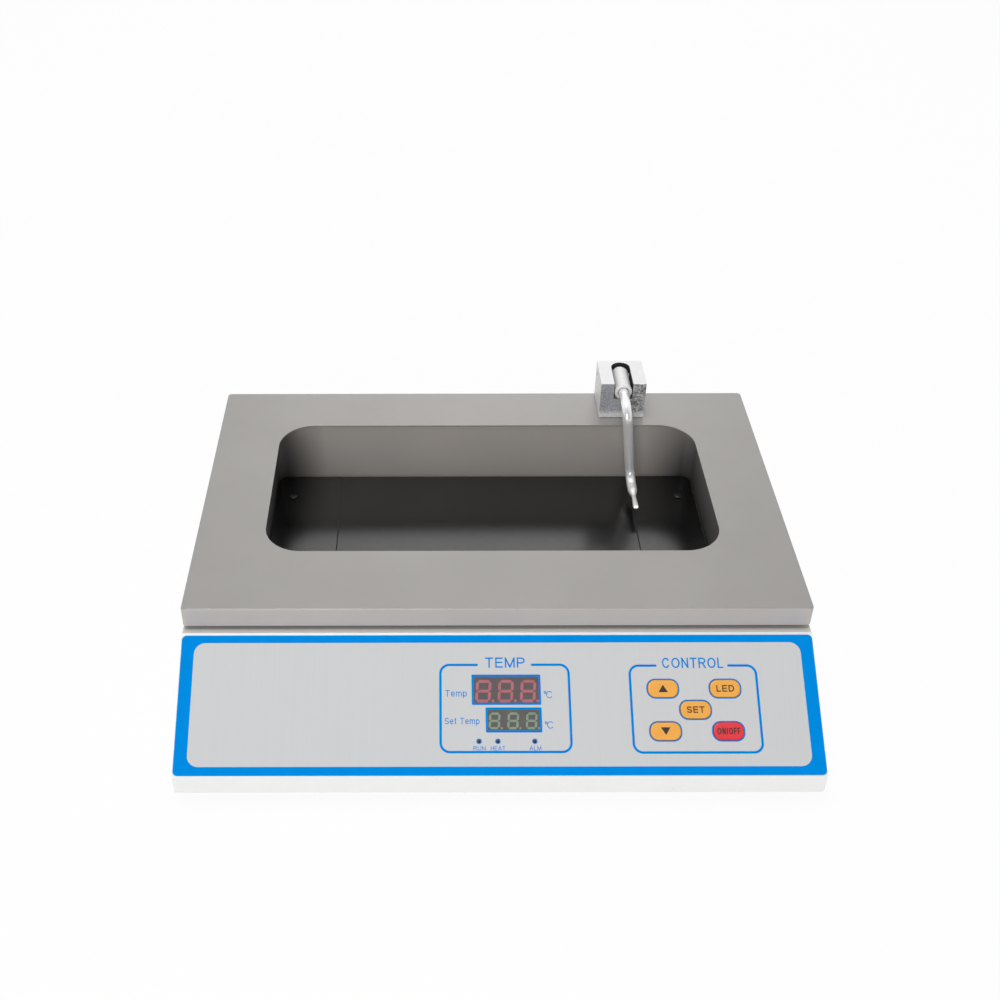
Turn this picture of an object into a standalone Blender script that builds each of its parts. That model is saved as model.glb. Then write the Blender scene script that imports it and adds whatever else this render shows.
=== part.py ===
"""Tissue flotation bath: a shallow heated water tank under a stainless top plate,
in a low sheet-metal case with a sloping control panel and a lift-up probe.

Frame: metres, +X to the right, +Y to the rear, +Z up. The origin is on the
bench under the centre of the bath. All sizes below are real sizes.
"""

import math

import bmesh
import bpy
from mathutils import Matrix, Vector

MM = 0.001

# Fits shared by all pieces
GAP = 0.3 * MM                  # between pieces that rest on or nest in each other
FILM_GAP = 0.15 * MM            # between the panel film and the sheet it is stuck to
OVERRUN = 3 * MM                # how far a cutter passes the piece it cuts
CORNER_STEPS = 6                # facets in a rounded corner
ROUND_SIDES = 24                # facets of a large round piece
SMALL_SIDES = 12                # facets of a small round piece

# Overall sizes that the rest follows
OVERALL_DEPTH = 290 * MM
HOUSING_WIDTH = 356 * MM
HOUSING_HEIGHT = 54.6 * MM      # lower edge to the flat top of the case
FRONT_LIP_HEIGHT = 12.9 * MM
SHEET = 1.2 * MM                # case and base sheet
FOOT_HEIGHT = 10 * MM
SHADOW_GAP = 2.9 * MM           # between the case top and the plate's folded edge

# Top plate
PLATE_SIDE_INSET = 0.5 * MM     # plate side to case side
PLATE_SHEET = 1.2 * MM
PLATE_LIP = 13 * MM
PLATE_CORNER_RADIUS = 2.2 * MM
PLATE_BEND_RADIUS = 1.4 * MM
OPENING_SIDE_MARGIN = 40.8 * MM
OPENING_RADIUS = 22.3 * MM
OPENING_FRONT_MARGIN = 50.2 * MM
OPENING_REAR_MARGIN = 39.2 * MM
STUD_RADIUS = 2 * MM
STUD_EDGE_X = 9.5 * MM          # plate side to stud
STUD_EDGE_Y = 26 * MM           # plate front or back to stud
STUD_BELOW_TOP = 4 * MM         # how far a stud shows under the case top

# Tank and what lies in it
TANK_OVERHANG = 6 * MM          # the plate covers the tank wall by this much
TANK_CORNER_RADIUS = 7 * MM     # nearly square, seen at the two rear corners of the floor
TANK_SHEET = 0.8 * MM
TANK_FLANGE_SIDE = 16 * MM
TANK_FLANGE_END = 12 * MM       # at the front and the back
TANK_FLOOR_BEND = 1 * MM
TANK_WATER_DEPTH = 46.5 * MM    # plate top down to the black floor
GASKET_THICKNESS = 1 * MM
GASKET_INSET = 2 * MM
FLOOR_THICKNESS = 2 * MM
FLOOR_WINDOW_WIDTH = 44.7 * MM  # tank side to the seam
FLOOR_SEAM = 0.6 * MM
FLOOR_EDGE_CLEARANCE = 1.3 * MM
WINDOW_SCREW_SIDE = 12 * MM     # tank side to window screw
WINDOW_SCREW_END = 24 * MM      # tank front or back to window screw
WINDOW_SCREW_RADIUS = 1.25 * MM
WINDOW_SCREW_HEAD_RADIUS = 2.4 * MM
WINDOW_SCREW_HEAD = 1.2 * MM
LIGHT_PORT_WIDTH = 22 * MM
LIGHT_PORT_SHARE = 0.52         # length of a light port, of the tank's depth

# Under the tank
HEATER_SIDE_MARGIN = 10 * MM    # seam to heater mat
HEATER_END_MARGIN = 14.8 * MM   # tank wall to heater mat
HEATER_THICKNESS = 1.5 * MM
INSULATION_INSET = 1 * MM
INSULATION_THICKNESS = 5 * MM
LIGHT_BOARD_MARGIN = 3.5 * MM   # light board beyond its port
LIGHT_BOARD_THICKNESS = 1.2 * MM
LAMP_CHIP_SIDE = 5 * MM
LAMP_CHIP_HEIGHT = 1 * MM
LAMP_CHIP_COUNT = 5
CUTOUT_RADIUS = 8 * MM
CUTOUT_BODY = 4.5 * MM
CUTOUT_COLLAR_RADIUS = 6 * MM
CUTOUT_COLLAR = 3 * MM
RAIL_WIDTH = 20 * MM
RAIL_THICKNESS = 1.5 * MM
RAIL_SIDE_GAP = 4 * MM          # rail to the inner face of the plate's lip
RAIL_END_GAP = 8 * MM

# Case
HOUSING_EDGE_RADIUS = 0.8 * MM
PANEL_RUN = 68.3 * MM           # the sloping panel as seen from above
PANEL_LEDGE = 2.7 * MM          # flat strip of case in front of the plate
REAR_SETBACK = 2 * MM           # the plate overhangs the case at the rear
BASE_FLANGE = 14 * MM
BASE_GUSSET = 28 * MM           # flange corners, for the foot screws
TANK_CLEARANCE = 6 * MM         # case opening around the tank
VENT_WIDTH = 3 * MM
VENT_LENGTH = 22 * MM
VENT_PITCH = 9 * MM
REAR_VENT_COUNT = 8
REAR_VENT_SIDE = 118 * MM       # case side to the middle of the vents
REAR_VENT_HEIGHT_SHARE = 0.5
BASE_VENT_COUNT = 9
BASE_VENT_SIDE = 83 * MM
BASE_VENT_Y = 28 * MM

# Feet
FOOT_RADIUS = 9 * MM
FOOT_TAPER = 1.2 * MM
FOOT_INSET_X = 25 * MM
FOOT_INSET_FRONT = 26 * MM
FOOT_INSET_REAR = 24 * MM
FOOT_WELL_RADIUS = 4.6 * MM
FOOT_WELL_DEPTH = 5 * MM
FOOT_SCREW_RADIUS = 2 * MM
FOOT_SCREW_HEAD_RADIUS = 3.8 * MM
FOOT_SCREW_HEAD = 2.4 * MM
FOOT_SCREW_ABOVE = 3 * MM       # thread above the case flange

# Control panel film. Panel places are measured along X from the middle,
# and down the slope from the upper edge of the panel.
FILM_THICKNESS = 0.5 * MM
FILM_SIDE_MARGIN = 0.5 * MM
FILM_TOP_MARGIN = 1.3 * MM
FILM_BOTTOM_MARGIN = 0.6 * MM
FILM_CORNER_RADIUS = 2.6 * MM

# Keys
KEY_WIDTH = 16.6 * MM
KEY_HEIGHT = 9.6 * MM
KEY_CLEARANCE = 0.25 * MM
KEY_PROUD = 0.7 * MM
KEY_EDGE_RADIUS = 0.35 * MM
KEY_TRAVEL = 0.5 * MM
KEY_DEPTH = 4.2 * MM
KEY_FLANGE = 1 * MM             # rim under the sheet that keeps a key in
KEY_LEFT_SIDE = 86.5 * MM       # case side to the left keys
KEY_COLUMN_PITCH = 34.5 * MM
KEY_TOP_DOWN = 32.2 * MM
KEY_ROW_PITCH = 23.6 * MM

# Displays and lamps on the panel
TEMP_WINDOW_WIDTH = 38 * MM
TEMP_WINDOW_HEIGHT = 16.6 * MM
TEMP_WINDOW_X = 4.6 * MM
TEMP_WINDOW_DOWN = 32.6 * MM
SET_WINDOW_WIDTH = 30.6 * MM
SET_WINDOW_HEIGHT = 13.4 * MM
SET_WINDOW_X = 8.4 * MM
SET_WINDOW_DOWN = 49.4 * MM
WINDOW_FIT = 0.2 * MM
DISPLAY_THICKNESS = 8 * MM
DISPLAY_INSET = 0.5 * MM        # module inside the outline of its window
LAMP_DOWN = 61.1 * MM
LAMP_XS = {"run_lamp": -10.9 * MM, "heat_lamp": -0.6 * MM, "alarm_lamp": 19.6 * MM}
LAMP_RADIUS = 1.5 * MM
LAMP_FLANGE_RADIUS = 1.9 * MM
LAMP_FLANGE = 1 * MM
LAMP_PROUD = 0.5 * MM

# Control board behind the panel
BOARD_THICKNESS = 1.6 * MM
BOARD_LEFT = 24 * MM            # board edge left of the middle of the panel
BOARD_RIGHT_SIDE = 30 * MM      # case side to board edge
BOARD_TOP_DOWN = 17 * MM
BOARD_BOTTOM_DOWN = 67 * MM
SWITCH_SIDE = 6 * MM
SWITCH_BODY = 3.4 * MM
SWITCH_PLUNGER_RADIUS = 1.7 * MM
POST_RADIUS = 3 * MM
POST_EDGE = 4 * MM
CHIP_SIDE = 12 * MM
CHIP_HEIGHT = 2 * MM

# Power board on the base
POWER_SIDE = 24 * MM            # case side to board edge
POWER_MIDDLE = 42 * MM          # middle of the case to board edge
POWER_DEPTH = 62 * MM
POWER_FRONT_GAP = 40 * MM       # inside of the front lip to the power board
POWER_POST = 5 * MM
POWER_POST_RADIUS = 3 * MM
POWER_POST_EDGE = 5 * MM
TRANSFORMER_SHARE = 0.34        # of the board's width
TRANSFORMER_DEPTH = 30 * MM
TRANSFORMER_HEIGHT = 14 * MM
TRANSFORMER_COIL_SHARE = 0.68   # of the core's width
TRANSFORMER_COIL_HEIGHT = 26 * MM
TRANSFORMER_X_SHARE = -0.29     # along the power board from its middle
SINK_SHARE = 0.286              # of the board's width
SINK_DEPTH = 16 * MM
SINK_HEIGHT = 22 * MM
SINK_BASE = 3 * MM
SINK_FIN = 1.2 * MM
SINK_FIN_COUNT = 5
SINK_X_SHARE = 0.32
CAPACITOR_SHARE = 0.045         # radius, of the board's width
CAPACITOR_HEIGHT = 16 * MM
TERMINAL_WIDTH = 20 * MM
TERMINAL_DEPTH = 8 * MM
TERMINAL_HEIGHT = 10 * MM

# Mains inlet with its fuse drawer, in the rear wall
INLET_SIDE = 50 * MM            # case side to the middle of the inlet
INLET_UP_SHARE = 0.5            # its centre, up the rear wall
INLET_FACE_WIDTH = 31 * MM
INLET_FACE_HEIGHT = 38 * MM
INLET_FACE = 1.6 * MM
INLET_FACE_RADIUS = 3 * MM
INLET_BODY_WIDTH = 27 * MM
INLET_BODY_HEIGHT = 34 * MM
INLET_BODY_DEPTH = 23 * MM
SOCKET_WIDTH = 24 * MM
SOCKET_HEIGHT = 16.4 * MM
SOCKET_DEPTH = 18 * MM
SOCKET_CHAMFER = 4 * MM
SOCKET_UP = 6.4 * MM            # above the middle of the inlet
PIN_WIDTH = 2 * MM
PIN_HEIGHT = 4 * MM
PIN_LENGTH = 12 * MM
PIN_PITCH = 7 * MM
PIN_EARTH_DROP = 4 * MM
DRAWER_WIDTH = 22 * MM
DRAWER_HEIGHT = 7 * MM
DRAWER_DEPTH = 19 * MM
DRAWER_FACE = 1.4 * MM
DRAWER_DOWN = 10.6 * MM         # below the middle of the inlet
DRAWER_GRIP = 0.8 * MM
DRAWER_TRAVEL = 14 * MM

# Probe holder block on the plate
BLOCK_WIDTH = 30 * MM
BLOCK_DEPTH = 29 * MM
BLOCK_HEIGHT = 26.7 * MM
BLOCK_SIDE = 86.3 * MM          # plate side to the middle of the block
BLOCK_REAR_MARGIN = 1.5 * MM    # block to the rear edge of the plate
BLOCK_EDGE = 0.5 * MM
SLOT_WIDTH = 12.4 * MM
SLOT_FLOOR = 14.3 * MM          # above the underside of the block
SLOT_REAR_WALL = 2 * MM
BLOCK_SCREW_RADIUS = 2 * MM
BLOCK_SCREW_LENGTH = 13 * MM
BLOCK_SCREW_PITCH = 21 * MM
BLOCK_SCREW_BACK = 5 * MM        # behind the middle of the block
BLOCK_SCREW_HEAD_RADIUS = 3.6 * MM
BLOCK_SCREW_HEAD = 2.5 * MM
LEAD_HOLE_RADIUS = 2 * MM
LEAD_HOLE_FROM_FRONT = 14.5 * MM

# Probe
SLEEVE_RADIUS = 5.8 * MM
SLEEVE_FRONT_PROUD = 0.8 * MM   # in front of the block
SLEEVE_CHAMFER = 0.8 * MM
SLEEVE_BORE_DEPTH = 13 * MM
PIVOT_RADIUS = 1.5 * MM
PIVOT_FIT = 0.2 * MM
ROD_RADIUS = 3.2 * MM
ROD_BEND_RADIUS = 11 * MM
ROD_REACH = 20.5 * MM           # block front to the upright part of the rod
ROD_DROP = 57 * MM              # sleeve axis to the lower part of the rod
ROD_FOOT = 33 * MM              # length of the lower part
ROD_TWIST = math.radians(7)     # the rod hangs turned about its sleeve
ROD_SIDES = 16
ROD_BEND_STEPS = 7

# Leads inside the case
LEAD_RADIUS = 1.6 * MM
SIGNAL_X = -16 * MM
SIGNAL_DOWN = 45 * MM
SIGNAL_IN = 8 * MM              # signal lead, in from the right edge of the power board
PROBE_LEAD_SHIFT = 3.8 * MM     # to the right of the block
PROBE_LEAD_DOWN = 25 * MM
LEAD_STEP = 6 * MM              # usual distance of a lead from its end to its first bend

# Places that follow from the sizes
HALF_WIDTH = HOUSING_WIDTH / 2
PLATE_WIDTH = HOUSING_WIDTH - 2 * PLATE_SIDE_INSET
PLATE_DEPTH = OVERALL_DEPTH - PANEL_RUN - PANEL_LEDGE
OPENING_WIDTH = PLATE_WIDTH - 2 * OPENING_SIDE_MARGIN
OPENING_DEPTH = PLATE_DEPTH - OPENING_FRONT_MARGIN - OPENING_REAR_MARGIN
FRONT_Y = -OVERALL_DEPTH / 2
PLATE_BACK_Y = OVERALL_DEPTH / 2
PLATE_FRONT_Y = PLATE_BACK_Y - PLATE_DEPTH
PLATE_MID_Y = (PLATE_FRONT_Y + PLATE_BACK_Y) / 2
HOUSING_BACK_Y = PLATE_BACK_Y - REAR_SETBACK
BASE_Z = FOOT_HEIGHT
HOUSING_TOP_Z = BASE_Z + HOUSING_HEIGHT
PLATE_TOP_Z = HOUSING_TOP_Z + SHADOW_GAP + PLATE_LIP
PLATE_UNDER_Z = PLATE_TOP_Z - PLATE_SHEET

OPENING_MID_Y = PLATE_FRONT_Y + OPENING_FRONT_MARGIN + OPENING_DEPTH / 2
TANK_HALF_X = OPENING_WIDTH / 2 + TANK_OVERHANG
TANK_HALF_Y = OPENING_DEPTH / 2 + TANK_OVERHANG
FLOOR_TOP_Z = PLATE_TOP_Z - TANK_WATER_DEPTH
TANK_FLOOR_Z = FLOOR_TOP_Z - FLOOR_THICKNESS - GAP
TANK_BOTTOM_Z = TANK_FLOOR_Z - TANK_SHEET
FLANGE_TOP_Z = PLATE_UNDER_Z - GASKET_THICKNESS - 2 * GAP
FLANGE_BOTTOM_Z = FLANGE_TOP_Z - TANK_SHEET
TANK_OUTER_X = TANK_HALF_X + TANK_SHEET
TANK_OUTER_Y = TANK_HALF_Y + TANK_SHEET
FLOOR_CENTRE_WIDTH = 2 * (TANK_HALF_X - FLOOR_WINDOW_WIDTH)
HEATER_WIDTH = FLOOR_CENTRE_WIDTH - 2 * HEATER_SIDE_MARGIN
HEATER_DEPTH = 2 * (TANK_HALF_Y - HEATER_END_MARGIN)

PANEL_TOP_Y = PLATE_FRONT_Y - PANEL_LEDGE
PANEL_RISE = HOUSING_HEIGHT - FRONT_LIP_HEIGHT
PANEL_LENGTH = math.hypot(PANEL_RISE, PANEL_RUN)
PANEL_ANGLE = math.atan2(PANEL_RISE, PANEL_RUN)
PANEL_PLACE = Matrix.Translation((0, PANEL_TOP_Y, HOUSING_TOP_Z)) @ Matrix.Rotation(PANEL_ANGLE, 4, "X")

FILM_UNDER = FILM_GAP
FILM_TOP = FILM_UNDER + FILM_THICKNESS
DISPLAY_TOP = FILM_UNDER - GAP
BOARD_TOP = DISPLAY_TOP - DISPLAY_THICKNESS - GAP
KEY_BOTTOM = FILM_TOP + KEY_PROUD - KEY_DEPTH
SWITCH_TOP = KEY_BOTTOM - KEY_TRAVEL - GAP

KEY_LEFT_X = HALF_WIDTH - KEY_LEFT_SIDE
BOARD_RIGHT = HALF_WIDTH - BOARD_RIGHT_SIDE
KEYS = {
    "key_up": (KEY_LEFT_X, KEY_TOP_DOWN),
    "key_down": (KEY_LEFT_X, KEY_TOP_DOWN + KEY_ROW_PITCH),
    "key_set": (KEY_LEFT_X + KEY_COLUMN_PITCH / 2, KEY_TOP_DOWN + KEY_ROW_PITCH / 2),
    "key_light": (KEY_LEFT_X + KEY_COLUMN_PITCH, KEY_TOP_DOWN),
    "key_power": (KEY_LEFT_X + KEY_COLUMN_PITCH, KEY_TOP_DOWN + KEY_ROW_PITCH),
}
WINDOWS = {
    "temp": (TEMP_WINDOW_X, TEMP_WINDOW_DOWN, TEMP_WINDOW_WIDTH, TEMP_WINDOW_HEIGHT),
    "set": (SET_WINDOW_X, SET_WINDOW_DOWN, SET_WINDOW_WIDTH, SET_WINDOW_HEIGHT),
}

SIDES = {"left": -1, "right": 1}
FEET = {
    "front_left": (-1, FRONT_Y + FOOT_INSET_FRONT),
    "front_right": (1, FRONT_Y + FOOT_INSET_FRONT),
    "rear_left": (-1, HOUSING_BACK_Y - FOOT_INSET_REAR),
    "rear_right": (1, HOUSING_BACK_Y - FOOT_INSET_REAR),
}
FOOT_X = HALF_WIDTH - FOOT_INSET_X
REAR_VENT_X = HALF_WIDTH - REAR_VENT_SIDE
BASE_VENT_X = HALF_WIDTH - BASE_VENT_SIDE
FLANGE_UNDER_Z = BASE_Z + SHEET + GAP

BLOCK_X = PLATE_WIDTH / 2 - BLOCK_SIDE
BLOCK_BACK_Y = PLATE_BACK_Y - BLOCK_REAR_MARGIN
BLOCK_FRONT_Y = BLOCK_BACK_Y - BLOCK_DEPTH
BLOCK_MID_Y = (BLOCK_FRONT_Y + BLOCK_BACK_Y) / 2
BLOCK_BOTTOM_Z = PLATE_TOP_Z + GAP
PIVOT_Y = BLOCK_BACK_Y - SLOT_REAR_WALL - SLOT_WIDTH / 2
PIVOT_Z = BLOCK_BOTTOM_Z + SLOT_FLOOR + SLEEVE_RADIUS + GAP
PIVOT = Vector((BLOCK_X, PIVOT_Y, PIVOT_Z))
LEAD_HOLE_Y = BLOCK_FRONT_Y + LEAD_HOLE_FROM_FRONT

INLET_X = INLET_SIDE - HALF_WIDTH
INLET_Z = BASE_Z + HOUSING_HEIGHT * INLET_UP_SHARE
POWER_WIDTH = HALF_WIDTH - POWER_SIDE - POWER_MIDDLE
POWER_X = POWER_SIDE + POWER_WIDTH / 2 - HALF_WIDTH
TRANSFORMER_WIDTH = TRANSFORMER_SHARE * POWER_WIDTH
TRANSFORMER_COIL_WIDTH = TRANSFORMER_COIL_SHARE * TRANSFORMER_WIDTH
SINK_WIDTH = SINK_SHARE * POWER_WIDTH
CAPACITOR_RADIUS = CAPACITOR_SHARE * POWER_WIDTH
POWER_FRONT_Y = FRONT_Y + SHEET + POWER_FRONT_GAP
POWER_MID_Y = POWER_FRONT_Y + POWER_DEPTH / 2
POWER_BOARD_Z = BASE_Z + SHEET + GAP + POWER_POST
POWER_TOP_Z = POWER_BOARD_Z + BOARD_THICKNESS

# Finishes: base colour, roughness, metallic
FINISHES = {
    "satin_steel": ((0.62, 0.60, 0.58), 0.38, 1.0),
    "tank_steel": ((0.55, 0.54, 0.52), 0.32, 1.0),
    "polished_steel": ((0.78, 0.78, 0.79), 0.12, 1.0),
    "milled_aluminium": ((0.80, 0.80, 0.81), 0.30, 1.0),
    "zinc_steel": ((0.60, 0.61, 0.62), 0.35, 1.0),
    "white_paint": ((0.83, 0.83, 0.81), 0.35, 0.0),
    "panel_film": ((0.62, 0.63, 0.64), 0.40, 0.0),
    "black_floor": ((0.02, 0.02, 0.02), 0.18, 0.0),
    "smoked_window": ((0.02, 0.02, 0.02), 0.12, 0.0),
    "black_rubber": ((0.03, 0.03, 0.03), 0.75, 0.0),
    "orange_key": ((0.95, 0.45, 0.07), 0.40, 0.0),
    "red_key": ((0.78, 0.04, 0.06), 0.40, 0.0),
    "red_window": ((0.12, 0.02, 0.02), 0.10, 0.0),
    "green_window": ((0.07, 0.10, 0.07), 0.10, 0.0),
    "display_body": ((0.10, 0.10, 0.10), 0.50, 0.0),
    "lamp_red": ((0.45, 0.03, 0.04), 0.20, 0.0),
    "lamp_white": ((0.90, 0.88, 0.75), 0.30, 0.0),
    "circuit_green": ((0.03, 0.22, 0.10), 0.45, 0.0),
    "black_plastic": ((0.03, 0.03, 0.03), 0.45, 0.0),
    "silicone_orange": ((0.70, 0.20, 0.05), 0.60, 0.0),
    "white_foam": ((0.80, 0.78, 0.70), 0.90, 0.0),
    "white_plastic": ((0.86, 0.86, 0.84), 0.30, 0.0),
    "lead_grey": ((0.35, 0.35, 0.36), 0.55, 0.0),
}


def clear_scene():
    for old in list(bpy.data.objects):
        bpy.data.objects.remove(old, do_unlink=True)


def finish(name):
    """The material of that name, made when it is first asked for."""
    known = bpy.data.materials.get(name)
    if known:
        return known
    colour, roughness, metallic = FINISHES[name]
    made = bpy.data.materials.new(name)
    made.use_nodes = True
    shader = made.node_tree.nodes["Principled BSDF"]
    shader.inputs["Base Color"].default_value = (*colour, 1)
    shader.inputs["Roughness"].default_value = roughness
    shader.inputs["Metallic"].default_value = metallic
    made.diffuse_color = (*colour, 1)
    return made


def add_piece(name, bm, finish_name=None, place=None):
    """Turn a bmesh into a named object. Without a finish it is a cutter."""
    bmesh.ops.remove_doubles(bm, verts=bm.verts, dist=1e-7)
    bmesh.ops.recalc_face_normals(bm, faces=bm.faces)
    mesh = bpy.data.meshes.new(name)
    bm.to_mesh(mesh)
    bm.free()
    mesh.shade_smooth()
    mesh.set_sharp_from_angle(angle=math.radians(35))
    piece = bpy.data.objects.new(name, mesh)
    bpy.context.scene.collection.objects.link(piece)
    if place:
        piece.matrix_world = place
    if finish_name:
        mesh.materials.append(finish(finish_name))
    else:
        piece.hide_render = True
        piece.display_type = "WIRE"
    return piece


def boolean(piece, tool, operation):
    modifier = piece.modifiers.new(f"{operation.lower()}_{tool.name}", "BOOLEAN")
    modifier.operation = operation
    modifier.solver = "EXACT"
    modifier.object = tool


def cut(piece, *tools):
    for tool in tools:
        boolean(piece, tool, "DIFFERENCE")


def fuse(piece, *tools):
    for tool in tools:
        boolean(piece, tool, "UNION")


def box_mesh(low, high, bm=None):
    """A box between two corners, added to a bmesh."""
    bm = bm or bmesh.new()
    low, high = Vector(low), Vector(high)
    size = high - low
    place = Matrix.Translation((low + high) / 2) @ Matrix.Diagonal((*size, 1))
    bmesh.ops.create_cube(bm, size=1, matrix=place)
    return bm


def rod_mesh(radius, start, end, sides=SMALL_SIDES, bm=None):
    """A round bar from one point to another."""
    bm = bm or bmesh.new()
    start, end = Vector(start), Vector(end)
    turn = (end - start).to_track_quat("Z", "Y").to_matrix().to_4x4()
    place = Matrix.Translation((start + end) / 2) @ turn
    bmesh.ops.create_cone(
        bm, cap_ends=True, segments=sides, radius1=radius, radius2=radius,
        depth=(end - start).length, matrix=place)
    return bm


def rounded_outline(half_x, half_y, radius, middle=(0, 0), steps=CORNER_STEPS):
    """Corner arcs of a rounded rectangle, anticlockwise."""
    points = []
    for quarter, (sign_x, sign_y) in enumerate(((1, 1), (-1, 1), (-1, -1), (1, -1))):
        centre_x = middle[0] + sign_x * (half_x - radius)
        centre_y = middle[1] + sign_y * (half_y - radius)
        for step in range(steps + 1):
            angle = math.pi / 2 * (quarter + step / steps)
            points.append((centre_x + radius * math.cos(angle), centre_y + radius * math.sin(angle)))
    return points


def circle_outline(radius, middle=(0, 0), sides=SMALL_SIDES):
    return [
        (middle[0] + radius * math.cos(math.tau * k / sides),
         middle[1] + radius * math.sin(math.tau * k / sides))
        for k in range(sides)]


def at_height(outline, z):
    return [(x, y, z) for x, y in outline]


def prism_mesh(outlines, low, high, bm=None):
    """An upright prism of an outline, with any further outlines as holes."""
    bm = bm or bmesh.new()
    edges = []
    for outline in outlines:
        ring = [bm.verts.new((x, y, low)) for x, y in outline]
        edges += [bm.edges.new((ring[k - 1], ring[k])) for k in range(len(ring))]
    filled = bmesh.ops.triangle_fill(bm, use_beauty=True, use_dissolve=False, edges=edges)
    faces = [item for item in filled["geom"] if isinstance(item, bmesh.types.BMFace)]
    raised = bmesh.ops.extrude_face_region(bm, geom=faces, use_keep_orig=True)
    top = [item for item in raised["geom"] if isinstance(item, bmesh.types.BMVert)]
    bmesh.ops.translate(bm, verts=top, vec=(0, 0, high - low))
    return bm


def stack_mesh(loops, closed=False, bm=None):
    """Skin a row of loops with equal point counts: a ring, or a solid with capped ends."""
    bm = bm or bmesh.new()
    rings = [[bm.verts.new(point) for point in loop] for loop in loops]
    pairs = list(zip(rings, rings[1:]))
    if closed:
        pairs.append((rings[-1], rings[0]))
    count = len(rings[0])
    for lower, upper in pairs:
        for k in range(count):
            bm.faces.new((lower[k - 1], lower[k], upper[k], upper[k - 1]))
    if not closed:
        bm.faces.new(rings[0])
        bm.faces.new(list(reversed(rings[-1])))
    return bm


def turned_mesh(profile, place, sides=ROUND_SIDES):
    """Turn a profile of (radius, height) points about the local Z axis."""
    loops = [
        at_height(circle_outline(radius, sides=sides), height) for radius, height in profile]
    bm = stack_mesh(loops)
    bm.transform(place)
    return bm


def upright(x, y, z):
    return Matrix.Translation((x, y, z))


def strip_outline(points, thickness):
    """The outline of a strip of sheet that follows a row of points."""
    left, right = [], []
    for k, point in enumerate(points):
        before = Vector(points[max(k - 1, 0)])
        after = Vector(points[min(k + 1, len(points) - 1)])
        along = (after - before).normalized()
        across = Vector((-along.y, along.x)) * thickness / 2
        left.append(tuple(Vector(point) + across))
        right.append(tuple(Vector(point) - across))
    return left + right[::-1]


def side_extrusion(outline, low_x, high_x):
    """A prism along X of an outline given as (y, z) points."""
    bm = prism_mesh([outline], low_x, high_x)
    bm.transform(Matrix(((0, 0, 1, 0), (1, 0, 0, 0), (0, 1, 0, 0), (0, 0, 0, 1))))
    return bm


def panel_point(x, down, out=0.0):
    """A point of the panel as world coordinates."""
    return PANEL_PLACE @ Vector((x, -down, out))


def capsule_outline(width, height, middle=(0, 0)):
    """A pill shape, as long as its ends are round."""
    return rounded_outline(width / 2, height / 2, height / 2 * (1 - 1e-3), middle)


def stud_places():
    for side in SIDES.values():
        for y in (PLATE_FRONT_Y + STUD_EDGE_Y, PLATE_BACK_Y - STUD_EDGE_Y):
            yield side * (PLATE_WIDTH / 2 - STUD_EDGE_X), y


def opening_loop(z, inset=0.0):
    """The rounded opening of the plate, or the same shape a bit larger."""
    return at_height(rounded_outline(
        OPENING_WIDTH / 2 + inset, OPENING_DEPTH / 2 + inset, OPENING_RADIUS + inset,
        (0, OPENING_MID_Y)), z)


def plate_loop(z, inset=0.0, radius=PLATE_CORNER_RADIUS):
    return at_height(rounded_outline(
        PLATE_WIDTH / 2 - inset, PLATE_DEPTH / 2 - inset, radius, (0, PLATE_MID_Y)), z)


def make_top_plate():
    """Stainless sheet with a folded edge, a rounded opening and four weld studs."""
    lip_z = PLATE_TOP_Z - PLATE_LIP
    bend = PLATE_BEND_RADIUS
    inner = PLATE_SHEET
    inner_radius = PLATE_CORNER_RADIUS - inner
    loops = [opening_loop(PLATE_TOP_Z)]
    for step in range(CORNER_STEPS // 2 + 1):
        angle = math.pi / 2 * step / (CORNER_STEPS // 2)
        drop = bend * (1 - math.cos(angle))
        loops.append(plate_loop(PLATE_TOP_Z - drop, bend * (1 - math.sin(angle))))
    loops.append(plate_loop(lip_z))
    loops.append(plate_loop(lip_z, inner, inner_radius))
    loops.append(plate_loop(PLATE_UNDER_Z, inner, inner_radius))
    loops.append(opening_loop(PLATE_UNDER_Z))
    plate = add_piece("top_plate", stack_mesh(loops, closed=True), "satin_steel")
    stud_bottom = HOUSING_TOP_Z - SHEET - STUD_BELOW_TOP
    for number, (x, y) in enumerate(stud_places(), 1):
        stud = rod_mesh(STUD_RADIUS, (x, y, stud_bottom), (x, y, PLATE_TOP_Z - PLATE_SHEET / 2))
        fuse(plate, add_piece(f"stud_tool_{number}", stud))
    cut(plate, *block_screw_tools("plate_screw_hole"))
    cut(plate, lead_hole_tool("plate_lead_hole"))


def make_gasket():
    outer = flange_outline(GASKET_INSET)
    inner = rounded_outline(TANK_HALF_X, TANK_HALF_Y, TANK_CORNER_RADIUS, (0, OPENING_MID_Y))
    low = FLANGE_TOP_Z + GAP
    gasket = stack_mesh([
        at_height(outer, low), at_height(outer, low + GASKET_THICKNESS),
        at_height(inner, low + GASKET_THICKNESS), at_height(inner, low)], closed=True)
    add_piece("plate_gasket", gasket, "black_rubber")


def tank_loop(z, grow=0.0):
    return at_height(rounded_outline(
        TANK_HALF_X + grow, TANK_HALF_Y + grow, TANK_CORNER_RADIUS + grow, (0, OPENING_MID_Y)), z)


def flange_outline(inset=0.0):
    return rounded_outline(
        TANK_OUTER_X + TANK_FLANGE_SIDE - inset, TANK_OUTER_Y + TANK_FLANGE_END - inset,
        TANK_CORNER_RADIUS + TANK_FLANGE_END - inset, (0, OPENING_MID_Y))


def light_port(side, grow=0.0):
    """Outline of the hole in the tank floor that the light shines through."""
    mid_x = side * (FLOOR_CENTRE_WIDTH / 2 + TANK_HALF_X) / 2
    return rounded_outline(
        LIGHT_PORT_WIDTH / 2 + grow, TANK_HALF_Y * LIGHT_PORT_SHARE + grow,
        LAMP_CHIP_SIDE / 2, (mid_x, OPENING_MID_Y))


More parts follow.
